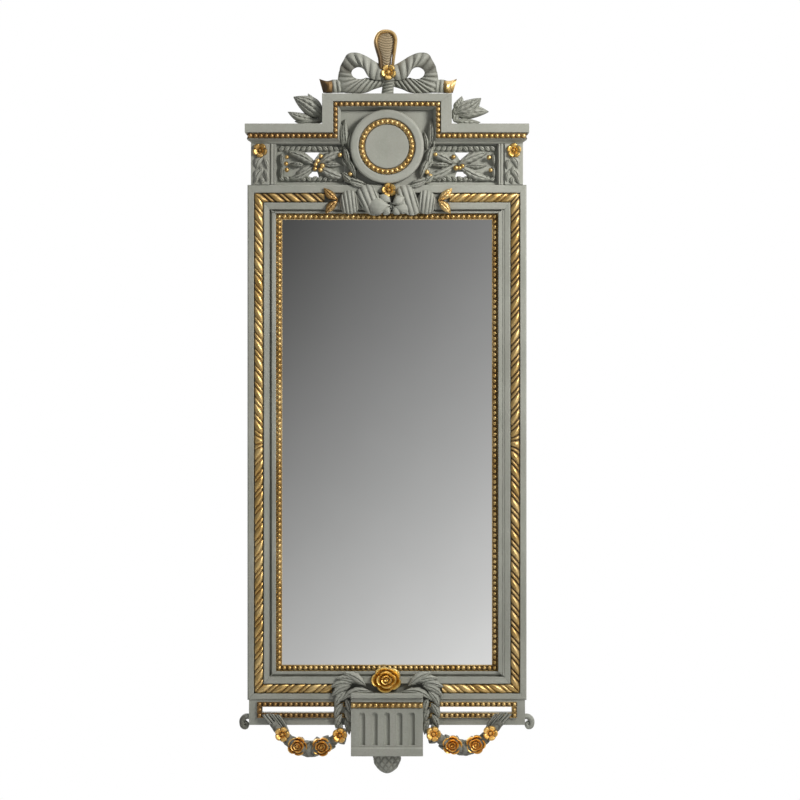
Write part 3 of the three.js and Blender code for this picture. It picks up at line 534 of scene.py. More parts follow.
def aged_paint(name="aged_grey_paint", gilt=0.0):
    """Grey-green distemper over gesso: clouded tone, brush drag, dark glaze with painted shade where
    each point's attribute asks for it, rubbed specks where a paler coat shows, and bare wood on the
    faces against the wall. gilt is how much worn leaf still warms it."""
    b = finish_named(name)
    glaze_and_shade = b.attribute("glaze_and_shade")
    cloud = b.noise(9.0, 4.0).between(0.34, 0.66)
    drag = b.noise(46.0, 3.0, 0.6, (1, 1, 0.16)).between(0.35, 0.68)
    fine = b.noise(310.0, 2.0).between(0.40, 0.70)
    speck = b.noise(170.0, 5.0, 0.7)
    tone = cloud.mix((0.266, 0.275, 0.236), (0.326, 0.335, 0.292))
    tone = (drag * 0.40).mix(tone, (0.312, 0.305, 0.272))
    tone = (fine * 0.28).mix(tone, (0.235, 0.235, 0.190))
    tone = (speck.between(0.63, 0.74) * 0.55).mix(tone, (0.46, 0.46, 0.41))
    tone = (speck.between(0.36, 0.27) * 0.45).mix(tone, (0.17, 0.155, 0.12))
    tone = (cloud * 0.4 * gilt + 0.6 * gilt).mix(tone, (0.36, 0.25, 0.115))
    # Glaze and painted shade: hollows, creases, undersides and sides turned from the lamp are painted
    # dark.
    glaze = (glaze_and_shade ** 1.25) * (0.66 + 0.28 * drag)
    tone = glaze.mix(tone, (0.055, 0.050, 0.036))
    rear = b.place(1).between(-0.0009, -0.0002)
    grain = b.noise(30.0, 4.0, 0.6, (1, 1, 0.05)).mix((0.20, 0.125, 0.065), (0.34, 0.23, 0.13))
    tone = rear.mix(tone, grain)
    skin_height = fine * 0.35 + drag * 0.5 + speck * 0.4
    return b.surface({
        "Base Color": tone,
        "Roughness": 0.50 + 0.18 * cloud + 0.12 * glaze,
        "Normal": b.bump(skin_height, 0.00025, 0.55),
    })


def old_gilding(name, pale, full, bole, left_shade=0.0):
    """Burnished leaf over red bole: leaf tone drifting warm to pale, bole, glaze and painted shade where
    each point's attribute asks for it, rubbed-through specks, and fine laps in the leaf. Its last
    argument is painted shade that turns the leaf darker and redder towards the left, the side away from
    the lamp."""
    b = finish_named(name)
    glaze_and_shade = b.attribute("glaze_and_shade")
    cloud = b.noise(26.0, 4.0).between(0.36, 0.64)
    fine = b.noise(420.0, 3.0).between(0.38, 0.66)
    speck = b.noise(150.0, 5.0, 0.72)
    leaf_tone = cloud.mix(full, pale)
    leaf_tone = (fine * 0.22).mix(leaf_tone, (0.42, 0.25, 0.07))
    # Painted shade: the leaf is painted darker and redder towards the left, away from the lamp.
    turned = b.place(0).between(0.15, -0.20) * left_shade
    leaf_tone = turned.mix(leaf_tone, (0.24, 0.125, 0.045))
    worn = speck.between(0.62, 0.72).most(glaze_and_shade.between(0.30, 0.95) * 0.85)
    tone = (worn * 0.80).mix(leaf_tone, bole)
    # Near-black glaze and painted shade in the deepest creases.
    tone = (glaze_and_shade.between(0.60, 1.0) * 0.82).mix(tone, (0.045, 0.028, 0.011))
    return b.surface({
        "Base Color": tone,
        "Metallic": 0.92 - 0.60 * worn,
        "Roughness": 0.34 + 0.12 * cloud + 0.22 * worn,
        "Normal": b.bump(fine * 0.3 + speck * 0.3, 0.0003, 0.4),
    })


def silvered_glass():
    """Mirror: silver behind glass, a breath of haze and faint foxing towards the slips."""
    b = finish_named("silvered_mirror_glass")
    edge_x = b.place(0) * b.place(0)
    near = edge_x.between(0.150**2, 0.182**2)
    fox = b.noise(120.0, 5.0, 0.7).between(0.66, 0.74) * near
    haze = b.noise(5.0, 3.0).between(0.35, 0.7)
    tone = haze.mix((0.905, 0.91, 0.90), (0.93, 0.935, 0.925))
    tone = (fox * 0.5).mix(tone, (0.42, 0.39, 0.34))
    return b.surface({
        "Base Color": tone,
        "Metallic": 1.0,
        "Roughness": 0.012 + 0.006 * haze + 0.25 * fox,
    })


def hardboard():
    b = finish_named("brown_hardboard")
    fibre = b.noise(180.0, 5.0, 0.75, (1, 1, 0.55))
    stain = b.noise(4.0, 3.0).between(0.3, 0.7)
    tone = stain.mix((0.175, 0.105, 0.055), (0.235, 0.150, 0.085))
    tone = (fibre.between(0.45, 0.72) * 0.5).mix(tone, (0.30, 0.205, 0.12))
    return b.surface({
        "Base Color": tone,
        "Roughness": 0.72 + 0.16 * fibre,
        "Normal": b.bump(fibre, 0.0004, 0.6),
    })


def dull_brass():
    b = finish_named("dull_brass")
    smoke = b.noise(70.0, 4.0).between(0.35, 0.7)
    scratch = b.noise(500.0, 3.0, 0.6, (0.08, 1, 1))
    tone = smoke.mix((0.46, 0.31, 0.105), (0.30, 0.195, 0.075))
    return b.surface({
        "Base Color": tone,
        "Metallic": 1.0,
        "Roughness": 0.30 + 0.22 * smoke + 0.10 * scratch,
        "Normal": b.bump(scratch, 0.00008, 0.5),
    })


def zinc_steel():
    b = finish_named("zinc_plated_steel")
    spangle = b.noise(240.0, 3.0).between(0.35, 0.7)
    dirt = b.noise(60.0, 5.0, 0.7).between(0.58, 0.72)
    tone = spangle.mix((0.40, 0.40, 0.41), (0.52, 0.52, 0.53))
    tone = (dirt * 0.6).mix(tone, (0.16, 0.13, 0.10))
    return b.surface({
        "Base Color": tone,
        "Metallic": 1.0 - 0.5 * dirt,
        "Roughness": 0.28 + 0.14 * spangle + 0.25 * dirt,
        "Normal": b.bump(spangle, 0.00005, 0.5),
    })


def dark_felt():
    b = finish_named("dark_felt")
    nap = b.noise(900.0, 4.0, 0.8)
    tone = nap.between(0.35, 0.7).mix((0.045, 0.042, 0.038), (0.105, 0.098, 0.088))
    return b.surface({
        "Base Color": tone,
        "Roughness": 0.95,
        "Normal": b.bump(nap, 0.0006, 0.8),
    })


FINISHES = {
    "grey_paint": aged_paint(),
    "gilt_paint": aged_paint("worn_gilt_paint", 0.75),
    "gilding": old_gilding("pale_gilding", (0.64, 0.47, 0.21), (0.48, 0.31, 0.105),
                           (0.15, 0.075, 0.026)),
    # This gilding and the next two are painted darker and redder towards the left: painted shade.
    "crest_gilding": old_gilding("left_shaded_gilding", (0.66, 0.49, 0.23), (0.50, 0.33, 0.115),
                                 (0.15, 0.075, 0.026), 0.72),
    "rosette_gilding": old_gilding("orange_gilding", (0.74, 0.53, 0.19), (0.60, 0.38, 0.10),
                                   (0.25, 0.12, 0.03), 0.55),
    "garland_gilding": old_gilding("red_gilding", (0.95, 0.62, 0.20), (0.84, 0.48, 0.11),
                                   (0.44, 0.20, 0.04), 0.30),
    # Lighter copy of the gilding for the big rose: its extra brightness is painted light, for the lamp
    # it faces.
    "rose_gilding": old_gilding("lit_rose_gilding", (0.90, 0.68, 0.25), (0.78, 0.52, 0.14),
                                (0.36, 0.19, 0.045)),
    "mirror_glass": silvered_glass(),
    "hardboard": hardboard(),
    "brass": dull_brass(),
    "steel": zinc_steel(),
    "felt": dark_felt(),
}


def dress_cad_nodes():
    """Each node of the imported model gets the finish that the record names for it."""
    slots = {part["node"]: part["material_slot"] for part in frame["record"]["subparts"]}
    for name, node in nodes.items():
        node.data.materials.clear()
        node.data.materials.append(FINISHES[slots[name]])


# ---------------------------------------------------------------- frame
def member_section(groove_floor, fillet, drop=0.0, sunk=0.0):
    """Section of a frame member, outer edge to sight edge, then back under the glass rebate. The rope
    channel lies drop further in, the groove sunk further in. A deep groove is painted dark with glaze
    and painted shade; a shallow one hardly at all."""
    dark = 0.75 if groove_floor < 19 else 0.1
    a, b = drop, sunk
    return softened([
        (0, 0.3), (0, 24.6), (1.6, 26), (10.4 + a, 26), (11 + a, 25.2, 0.2), (11 + a, 20, 0.5),
        (27.5 + a, 20, 0.5), (27.5 + a, 25.4, 0.2), (28.6 + a, 26), (33 + a, 25.2),
        (37.2 + b, 24.5, 0.2), (37.2 + b, groove_floor, dark), (40.2 + b, groove_floor, dark),
        (40.4 + b, fillet - 0.8, 0.3), (41.2 + b, fillet), (47.2, fillet), (48, fillet - 0.9, 0.3),
        (48, 4.3), (31, 4.3), (31, 0.3),
    ], 0.8)


def make_members():
    """Stiles and rails: each a moulded run whose mitres meet the sections of its neighbours."""
    sections = {
        "left": member_section(14.5, 18.5),
        "right": member_section(23.6, 22.8),
        "top": member_section(18.0, 20.0, TOP_DROP, 4.4),
        "bottom": member_section(16.0, 18.5, 0.0, 2.0),
    }
    runs = {
        "left": ("stile_left", "top", "bottom"), "right": ("stile_right", "bottom", "top"),
        "top": ("top_rail", "right", "left"), "bottom": ("bottom_rail", "left", "right"),
    }
    for side, (node, first, last) in runs.items():
        run = mitred_run(side, 0, sections[side], (sections[first], sections[last]))
        piece(f"moulded_{node}", [run], "grey_paint", [node])


SLIP = softened([
    (0, 8.6, 0.4), (0, 13.0, 0.4), (1.0, 13.2, 0.3), (1.6, 11.6, 0.62), (8.4, 11.6, 0.62),
    (9.0, 13.2, 0.3), (SLIP_WIDTH, 13.0, 0.3), (SLIP_WIDTH, 8.6, 0.5),
], 0.4, 2)
# Scale of the painted shade on each side of the slip: least on the left, most on the right and bottom.
SLIP_SIDE_SHADE = {"left": 0.35, "right": 1.25, "top": 1.0, "bottom": 1.4}


def make_slips():
    """Gilded slip round the glass: a shallow trough with a pearl every pitch. Its glaze and painted
    shade are scaled per side: least on the left, most on the right and at the bottom."""
    for side, share in SLIP_SIDE_SHADE.items():
        start, _, along, length = frame_side(side, SLIP_INSET + SLIP_WIDTH / 2)
        row = row_of(start, start + length * along, PEARL_PITCH, 12.2)[:-1]
        *shape, shade = pearls(row, 4.15)
        trough = mitred_run(side, SLIP_INSET, SLIP * (1, 1, share))
        piece(f"pearl_slip_{side}", [trough, (*shape, shade * share)], "gilding",
              [f"bead_slip_{side}"])


def rope(side, start_at, end_at, mitres, lean, side_shade):
    """Twisted gilded ribbon along one side. Across its half-round, at angle a, the surface follows a
    wide strand and a narrow one per pitch. Their phase is s / pitch plus slant times the way across, so
    they lie at a slant, which turns over at half height on the stiles, by tanh. The last argument is
    painted shade laid evenly over the whole run, and the valleys between strands are painted dark with
    glaze and painted shade."""
    width, pitch, slant, turning, floor = 15.9, 27.5, 0.58, 16, 20.6
    start, inward, along, length = frame_side(side, ROPE_INSET)
    a = np.linspace(np.pi, 0, 19)[None, :]
    u = np.linspace(0, 1, int(end_at - start_at))[:, None]
    across = 0.5 + 0.5 * np.cos(a)
    first = start_at + mitres[0] * (across * width + 0.2)
    last = end_at - mitres[1] * (across * width + 0.2)
    first = first + TOP_DROP * (side == "left")
    last = last - TOP_DROP * (side == "right")
    s = first + (last - first) * u
    turned = np.tanh((0.5 * length - s) / turning) if side in ("left", "right") else 1.0
    phase = np.mod(s / pitch + slant * lean * turned * across, 1.0)
    wide = np.sin(np.pi * np.clip(phase / 0.66, 0, 1)) ** 0.6
    narrow = 0.80 * np.sin(np.pi * np.clip((phase - 0.66) / 0.34, 0, 1)) ** 0.6
    form = np.maximum(wide, narrow)
    d = width / 2 * (1 + np.cos(a) * (0.84 + 0.16 * form)) + TOP_DROP * (side == "top")
    z = floor + 7.6 * np.sin(a) ** 0.75 * (0.36 + 0.64 * form)
    flat = start + s[..., None] * along + d[..., None] * inward
    front = np.concatenate([flat, z[..., None]], -1)
    under = front[:, [-1, 0]].copy()
    under[..., 2] = floor - 0.3
    shade = side_shade + 0.95 * (1 - form) ** 1.1 + 0 * a
    return skin(np.concatenate([front, under], 1),
                np.concatenate([shade, np.ones_like(shade[:, :2])], 1))


def make_ropes():
    """Ropes: whole on the stiles, and on the rails from each corner to the swag or the laurel."""
    half, stile = FRAME_HALF - ROPE_INSET, FRAME_TOP - FRAME_BOTTOM - 2 * ROPE_INSET
    swag, bunch = 106.3, 93.6
    runs = {
        # Each run: side, start, end, mitres, lean, and painted shade over the whole run.
        "left": ("left", 0.0, stile, (1, 1), -1, 0.0),
        "right": ("right", 0.0, stile, (1, 1), -1, 0.36),
        "top_right": ("top", 0.0, half - swag, (1, 0), -1, 0.05),
        "top_left": ("top", half + swag, 2 * half, (0, 1), 1, 0.42),
        "bottom_left": ("bottom", 0.0, half - bunch, (1, 0), -1, 0.10),
        "bottom_right": ("bottom", half + bunch, 2 * half, (0, 1), 1, 0.0),
    }
    for name, run in runs.items():
        piece(f"twisted_rope_{name}", [rope(*run)], "gilding", [f"rope_{name}"], 60)


# ---------------------------------------------------------------- cornice
CORNICE_TOP, RAISED_TOP, RAISED_HALF, CORNICE_HALF = 118.5, 169.5, 110.0, 241.0
CORNICE_FRONT = 38.0
WING_SKIRT = 231.6  # just outside the board's edge
CORNICE_DEPTHS = (BOARD_FRONT, CORNICE_FRONT, CORNICE_FRONT, 35.6, 33.4, 33.4, 35.0, 33.4, 27.0,
                  24.0, BOARD_FRONT)
# How dark each corner of the section is painted: glaze with painted shade, darkest in the pearl trough.
CORNICE_GLAZE_AND_SHADE = (0, 0, 0.1, 0.9, 1.0, 1.0, 0.5, 0.1, 0.15, 0.1, 0.4)
WING_PEARLS_Y, RISER_PEARLS_X, CROWN_PEARLS_Y = 98.0, 87.0, 151.75


def cornice_section(band_height, pearl_height, cove):
    """Section as distances inward of its corners: plain band, pearl trough, small fillet, cove."""
    a, b = band_height, band_height + pearl_height
    offsets = (0, 0, a, a + 0.4, a + 1.2, b - 1.2, b - 0.6, b + 0.2, b + 0.55 * cove, b + cove,
               b + cove)
    return softened(list(zip(offsets, CORNICE_DEPTHS, CORNICE_GLAZE_AND_SHADE)), 0.7)


WING = cornice_section(15, 11, 7)
RISER = cornice_section(18.5, 9, 4)
CROWN = cornice_section(13, 9.5, 4)


def cornice_pearls(name, bed_ends, row_ends, half, radius, depth=34.0):
    """Straight row of pearls on its bed, in the cornice's trough."""
    row = pearls(row_of(*row_ends, PEARL_PITCH, 34.4), radius)
    piece(name, [bed(*bed_ends, half, depth), row], "crest_gilding")


def make_cornice():
    """Wings, risers and crown of the cornice: one section, each run ending on the mitre line where
    its own offsets meet those of the next run. The wings return to the wall at their outer ends,
    where the foot of the cove leans in and closes on the board's edge."""
    wing_y, crown_y = CORNICE_TOP - WING[:, 0], RAISED_TOP - CROWN[:, 0]
    riser_x, gap = RAISED_HALF - RISER[:, 0], 0.15
    skirt = WING_SKIRT - 0.35 * np.maximum(WING[:, 0] - 29.8, 0)
    for name, side in HANDS:
        edge = side * np.maximum(CORNICE_HALF - CORNICE_FRONT + WING[:, 1], skirt)
        start = corner_ring(edge, wing_y, WING[:, 1])
        inner = corner_ring(side * (riser_x + gap), wing_y, WING[:, 1])
        near = corner_ring(edge, wing_y, np.maximum(WING[:, 1] - 0.05, 20.0))
        far = corner_ring(edge, wing_y, 0)
        skins = [straight(start, inner, WING[:, 2]), straight(near, far, WING[:, 2])]
        piece(f"moulded_cornice_wing_{name}", skins, "grey_paint", [f"cornice_wing_{name}"])
        y = WING_PEARLS_Y
        cornice_pearls(f"wing_pearls_{name}", ((side * 236.4, y), (side * 82.4, y)),
                       ((side * 231.6, y), (side * 96.0, y)), 4.9, 4.2)
        low = corner_ring(side * riser_x, wing_y, RISER[:, 1])
        high = corner_ring(side * riser_x, crown_y - gap, RISER[:, 1])
        riser = straight(low, high, RISER[:, 2])
        piece(f"moulded_cornice_riser_{name}", [riser], "grey_paint", [f"cornice_riser_{name}"])
        x = side * RISER_PEARLS_X
        cornice_pearls(f"riser_pearls_{name}", ((x, 103.0), (x, 147.4)), ((x, y), (x, 143.0)),
                       4.4, 4.1, 33.9)
    ends = [corner_ring(side * riser_x, crown_y, CROWN[:, 1]) for side in (-1, 1)]
    piece("moulded_cornice_crown", [straight(*ends, CROWN[:, 2])], "grey_paint", ["cornice_top"])
    x, y = RISER_PEARLS_X, CROWN_PEARLS_Y
    cornice_pearls("crown_pearls", ((-x - 4.4, y), (x + 4.4, y)), ((-x, y), (x, y)), 4.4, 4.1)


# ---------------------------------------------------------------- frieze
PILASTER = [
    (231, BOARD_FRONT), (231, 27), (200, 27), (199.2, 23.2, 0.55), (198, 23, 0.5), (197.2, 25.6),
    (193.6, 25.6), (193.0, 24.2, 0.4), (192.2, 24.2, 0.4), (191.6, 25.4), (189.6, 25.4),
    (189, BOARD_FRONT, 0.6),
]
PILASTER_AXIS = 214
PILASTER_DROP = [
    ((-5, 61), (-10, 42), 8.0, -2), ((-3, 63), (7.5, 43), 14.0, 4), ((0, 47), (-1, 32), 8.0, 0),
    ((-6, 41), (-10, 21), 8.0, -2), ((-5, 43), (8, 21), 14.0, 5), ((-2, 29), (-1.5, 16.6), 9.0, 0),
    ((6, 31), (11.5, 17), 7.0, -1),
]


def make_pilasters():
    """Pilaster block with two reeds, a gilded rosette and a drop of small leaves."""
    section = softened(PILASTER, 0.7)
    for name, side in HANDS:
        x, z = side * section[:, 0], section[:, 1]
        block = straight(corner_ring(x, 15.8, z), corner_ring(x, 85.2, z), section[:, 2])
        piece(f"reeded_pilaster_{name}", [block], "grey_paint", [f"pilaster_{name}"])
        flower = rosette((side * 215.6, 73.6), 12.6, 26.6, 8.4, 5, 0.3 * side, 0.26)
        piece(f"pilaster_rosette_{name}", [flower], "rosette_gilding")
        leaves = []
        for root, tip, width, bend in PILASTER_DROP:
            ends = [(side * (PILASTER_AXIS + x), y) for x, y in (root, tip)]
            leaves.append(leaf(*ends, width, 25.4, 7.0, side * bend, along=20, across=9))
        piece(f"pilaster_leaf_drop_{name}", leaves, "grey_paint")


PANEL_LEAVES = {
    "left": [
        ((315, 164.5), (286.0, 151.0), 15.5, -3), ((315, 166), (287.5, 180.0), 13.5, 4),
        ((304, 165), (290, 163.5), 9.5, 0), ((318, 163.5), (345, 151.5), 16.0, 3),
        ((318, 166.5), (347, 178.5), 17.0, -3), ((322, 165), (342, 164.5), 9.5, 0),
        ((341, 157), (351.5, 168), 9.0, -2), ((341, 172), (351, 181), 9.0, 2),
        ((282, 153), (281, 165), 6.5, 0), ((282, 166), (281, 178), 6.5, 0),
    ],
    "right": [
        ((458, 164.5), (489, 152.0), 16.0, 3), ((459, 166.0), (492, 180), 15.0, -4),
        ((466, 166), (487, 165.5), 9.5, 0), ((454, 163.5), (427, 152.5), 15.5, -3),
        ((454, 166.5), (426.0, 178.0), 17.0, 3), ((450, 165), (431, 164.5), 9.5, 0),
        ((433, 158), (424, 169), 9.0, 2), ((434, 172), (425, 182), 9.0, -2),
        ((493, 153), (494, 165), 6.5, 0), ((493, 166), (494, 178), 6.5, 0),
    ],
}
PANEL_BERRIES = {
    "left": [(286.9, 157.2), (286.9, 170), (321, 156.2), (317.7, 161), (315, 169), (320.5, 170),
             (322.5, 166), (315.8, 164.6), (286.1, 163.8), (340.0, 155), (350.4, 174)],
    "right": [(435.6, 154.5), (427, 172.3), (456, 168), (459.6, 168), (453.5, 157), (462.5, 166),
              (489, 157.6), (490.7, 170.3), (430.5, 176)],
}


def make_laurel_panels():
    """Crossed laurel sprigs over the pierced panel, a border of leaf tips and gilded berries."""
    for name, side in HANDS:
        sprigs = [leaf(at(*a), at(*b), 1.12 * width, 11.0, 14.0, bend, teeth=5, glaze=0.42)
                  for a, b, width, bend in PANEL_LEAVES[name]]
        piece(f"laurel_sprigs_{name}", sprigs, "grey_paint")
        border = []
        low, high, middle = 21.5, 82.5, 129.5
        for x in np.arange(77.5, 184.0, 9.3):
            away = 1 if x > middle else -1
            for y, up in ((high, -1), (low, 1)):
                root = (side * (x - away * 4.5), y + up)
                tip = (side * (x + away * 5.0), y + up * 9.0)
                border.append(leaf(root, tip, 8.8, 11.6, 7.0, along=14, across=9, glaze=0.34))
        piece(f"panel_leaf_border_{name}", border, "grey_paint")
        places = [(*at(x, y), 22.5) for x, y in PANEL_BERRIES[name]]
        piece(f"laurel_berries_{name}", [pearls(places, 4.3, 0.08)], "gilding")


def make_roundel():
    """Turned roundel: flat ring with a rounded edge, a trough of 32 pearls and a slightly domed
    disc. The section's rounding at the axis is left out, because the end fans close it."""
    centre, pearl_circle = (0.0, 80.0), 42.8
    section = softened([
        (0.01, BOARD_FRONT), (63, BOARD_FRONT, 1.0), (63, 31.5, 0.4), (61.4, 34.2), (58, 35), (50, 34.6),
        (48.2, 33.6, 0.5), (47.6, 30, 1.0), (37.8, 30, 1.0), (37.2, 31.6, 0.6), (36, 32),
        (18, 31.2), (0.01, 31.0),
    ], 0.9)
    keep = (section[:, 0] > 0.3) | (section[:, 1] < 17)
    piece("turned_roundel", [turned_disc(centre, section[keep])], "grey_paint", ["roundel"])
    a = round_angles(32)
    x, y = centre[0] + pearl_circle * np.cos(a), centre[1] + pearl_circle * np.sin(a)
    trough = np.array([(38.3, 30.2, 0.7), (38.6, 31.2, 0.5), (47.0, 31.2, 0.5), (47.3, 30.2, 0.7)])
    skins = [ring_skin(centre, trough), pearls(corner_ring(x, y, 31.4), 4.15)]
    piece("roundel_pearls", skins, "gilding")


SPRAYS = [
    ((346.5, 147), (345.2, 119.5), 9.5, 2), ((343, 147), (340.8, 123.5), 8.0, -1),
    ((430, 147), (430.6, 119), 9.5, -2), ((433.5, 147), (435.2, 123.5), 8.0, 1),
    ((344, 147), (348.5, 167), 9.5, 2), ((347, 158), (355.5, 178), 9.5, 2),
    ((432, 147), (427.5, 167), 9.5, -2), ((429, 158), (420.5, 178), 9.5, -2),
    ((366, 184.5), (347, 177.5), 9.0, 2), ((410, 184.5), (429, 177.5), 9.0, -2),
    ((352, 183.5), (342.5, 175), 8.5, 0), ((424, 183.5), (433.5, 175), 8.5, 0),
    ((349, 150), (352, 132), 7.0, 1), ((427, 150), (424, 132), 7.0, -1),
]


def make_sprays():
    """Leaves that fill the corners between the roundel, the panels and the top rail."""
    leaves = [leaf(at(*a), at(*b), 1.5 * width, 14.6, 17.0, bend, teeth=4, along=20, across=9,
                   glaze=0.3) for a, b, width, bend in SPRAYS]
    piece("roundel_leaf_sprays", leaves, "grey_paint")


# ---------------------------------------------------------------- bow and plume
BOW_MIDDLE = 388.0
# Inner and outer line of each part of the bow's right half
BOW = {
    "upper": ([(392, 80.0), (400, 80.0), (406, 78.0), (409.6, 73.6), (411.8, 69.4), (415.4, 67.0),
               (419.6, 67.0), (423.6, 69.6), (425.0, 73.5)],
              [(392, 66), (399.5, 62.4), (407.5, 57.4), (415.5, 53.6), (423.5, 52.5),
               (429.2, 54.6), (432.4, 60), (435.8, 66), (437.0, 73.5)]),
    "fan": ([(425, 71.5), (423.4, 75.6), (419, 78.4), (414, 78.6), (409.4, 77.4), (402, 79.0),
             (392, 80.2)],
            [(437.2, 71), (438.2, 80), (435.4, 90.6), (424, 92.6), (411, 92.2), (402.4, 88.8),
             (392, 85.6)]),
    "tail": ([(430, 80), (438, 79.2), (444.2, 79.2)], [(430, 92), (438, 92.2), (444, 92.2)]),
    "end": ([(443.8, 79.4), (449.5, 80.6), (457.0, 78.2)],
            [(443.8, 92.4), (448.5, 92.5), (453.0, 92.2)]),
}
# Side, glaze with painted shade in the pleats, painted shade laid over the folds, and painted shade on
# the tail's end
BOW_SHADES = (("left", -1, 0.45, 0.0, 0.65), ("right", 1, 0.75, 0.16, 0.0))
STEM = {
    "upper": ([(381.2, 64.5), (380.8, 74), (381.0, 80)], [(395.6, 64.5), (396.2, 74), (396.0, 80)]),
    "lower": ([(380.6, 79), (382.4, 84), (381.2, 93.9)], [(396.2, 79), (394, 84), (393.4, 93.9)]),
}


def make_bow():
    """On each side a pleated fan under the eye, the upper ribbon over it, a tail and its gilded
    end; then the stem above and below the knot, and the knot's rosette."""
    for name, side, glaze, dim, end_shade in BOW_SHADES:
        lines = {part: [line(handed(points, side, BOW_MIDDLE)) for points in pair]
                 for part, pair in BOW.items()}
        loops = [
            band(*lines["fan"], 8.0, [7, 11, 14, 14, 13, 11, 9], 9.5, 5.2, slant=0.5,
                 deep=(0.5, 0.05 + dim, dim, dim, 0.1 + dim, 0.3), glaze=glaze),
            band(*lines["upper"], 11.0, [13, 15.5, 16.2, 16.2, 13, 7, 4], 6.6, 4.2, slant=0.8,
                 edge=0.5, deep=(0.1 + dim, dim, dim, dim, 0.15 + dim, 0.75, 0.9), glaze=glaze),
            band(*lines["tail"], 8.6, [7.4, 9.4, 8.4], 3.0, 3.4, slant=0.3, count=40),
        ]
        piece(f"bow_loop_{name}", loops, "grey_paint", [f"bow_{name}"])
        # The left end is painted dark: painted shade on the side turned from the lamp.
        gold_end = band(*lines["end"], 8.0, [9, 13, 12, 8, 4], 1.0, 1.6, bow=0.4, count=30,
                        deep=(0.7, 0.1 + end_shade, end_shade, 0.3 + end_shade))
        piece(f"bow_tail_end_{name}", [gold_end], "crest_gilding")
    upper, lower = ([line(points) for points in pair] for pair in STEM.values())
    stem = [
        band(*upper, 9.0, [13, 15, 13], 3.0, 2.0, count=30),
        band(*lower, 8.5, [14, 13, 11, 10], 5.0, 3.4, slant=0.8, count=40,
             deep=(0.5, 0.3, 0.1, 0.0)),
    ]
    piece("bow_stem", stem, "grey_paint", ["bow_knot"])
    knot = rosette(at(388.4, 72.4), 13.6, 21.0, 9.8, 5, 0.9, 0.36)
    piece("knot_rosette", [knot], "rosette_gilding")


PLUME_RIM = [(380.6, 68.5), (380.2, 63), (379.4, 56.5), (377.2, 49.5), (375.4, 43), (375.4, 38),
             (377.6, 33.6), (381, 31.2), (386.0, 30.5), (391, 31.2), (394.6, 33.8), (396.2, 38),
             (396.0, 43), (395.2, 49.5), (394.2, 56.5), (393.4, 63), (393.0, 68.5)]
PLUME_FACE = [(382.4, 67), (382.2, 60), (381.2, 54), (379.4, 48), (378.2, 42.5), (378.6, 37.4),
              (381.2, 34.0), (385.6, 32.4)]


def make_plume():
    """Plume: a thick gilded rim carried round its outline, painted darker on the left as painted shade,
    and inside it a worn gilt face of curved ribs."""
    def shaded(s, a):
        return 1 + 0 * s * a, 0.92 * np.clip(1.5 - 2.4 * s, 0, 1) + 0 * a
    rim_line = line(PLUME_RIM)
    middle_x = at(386.2, 0)[0]
    rim_line[:, 0] = middle_x + (rim_line[:, 0] - middle_x) * 0.93
    rim_line[:, 1] -= 1.6
    rim = strand(rim_line, 18.0, [3.8, 3.9, 3.6, 3.0, 2.6], [8.8, 8.8, 8.8], shaded, 90)
    piece("plume_rim", [rim], "crest_gilding", ["plume"])
    face = band(line(PLUME_FACE), line(handed(PLUME_FACE, -1, 386.7)), 10.0,
                [11.5, 12, 12.5, 12.5, 11.5], 15.0, 2.2, bow=1.0, edge=0.75, count=120)
    piece("plume_ribbed_face", [face], "gilt_paint")


SHOULDERS = {
    "left": [
        ((323, 120.6), (294.5, 121.0), 12.5, 1, 3, 13.0, 0),
        ((323, 122), (315, 102), 15, -2, 2, 10.0, 0),
        ((312, 118.6), (287.8, 111.6), 15, 3, 2, 14.0, 3),
        ((322, 110), (308, 93.4), 15, 3, 2, 13.0, 3),
        ((323, 116), (293.7, 96.8), 29, -3, 4, 18.0, 4),
    ],
    "right": [
        ((454.5, 120.6), (480.5, 121.8), 12.5, -1, 3, 12.0, 0),
        ((454.5, 122), (461, 101), 15, 2, 2, 10.0, 0),
        ((454.5, 109), (462, 95.8), 15, -3, 2, 12.0, 2),
        ((455, 114), (488.6, 111.4), 22, 3, 3, 15.0, 3),
        ((454.5, 113), (481, 98.2), 27, -4, 4, 18.0, 4),
    ],
}


def make_shoulders():
    """Cluster of ribbed leaves on each step of the cornice, each a little in front of the last."""
    for name, leaves in SHOULDERS.items():
        skins = [leaf(at(*a), at(*b), 1.12 * width, 8.0 + 0.3 * k, rise, bend, ribs=ribs, lift=lift,
                      along=30, across=17, full=0.72)
                 for k, (a, b, width, bend, ribs, rise, lift) in enumerate(leaves)]
        piece(f"carved_shoulder_leaves_{name}", skins, "grey_paint", [f"shoulder_leaves_{name}"])


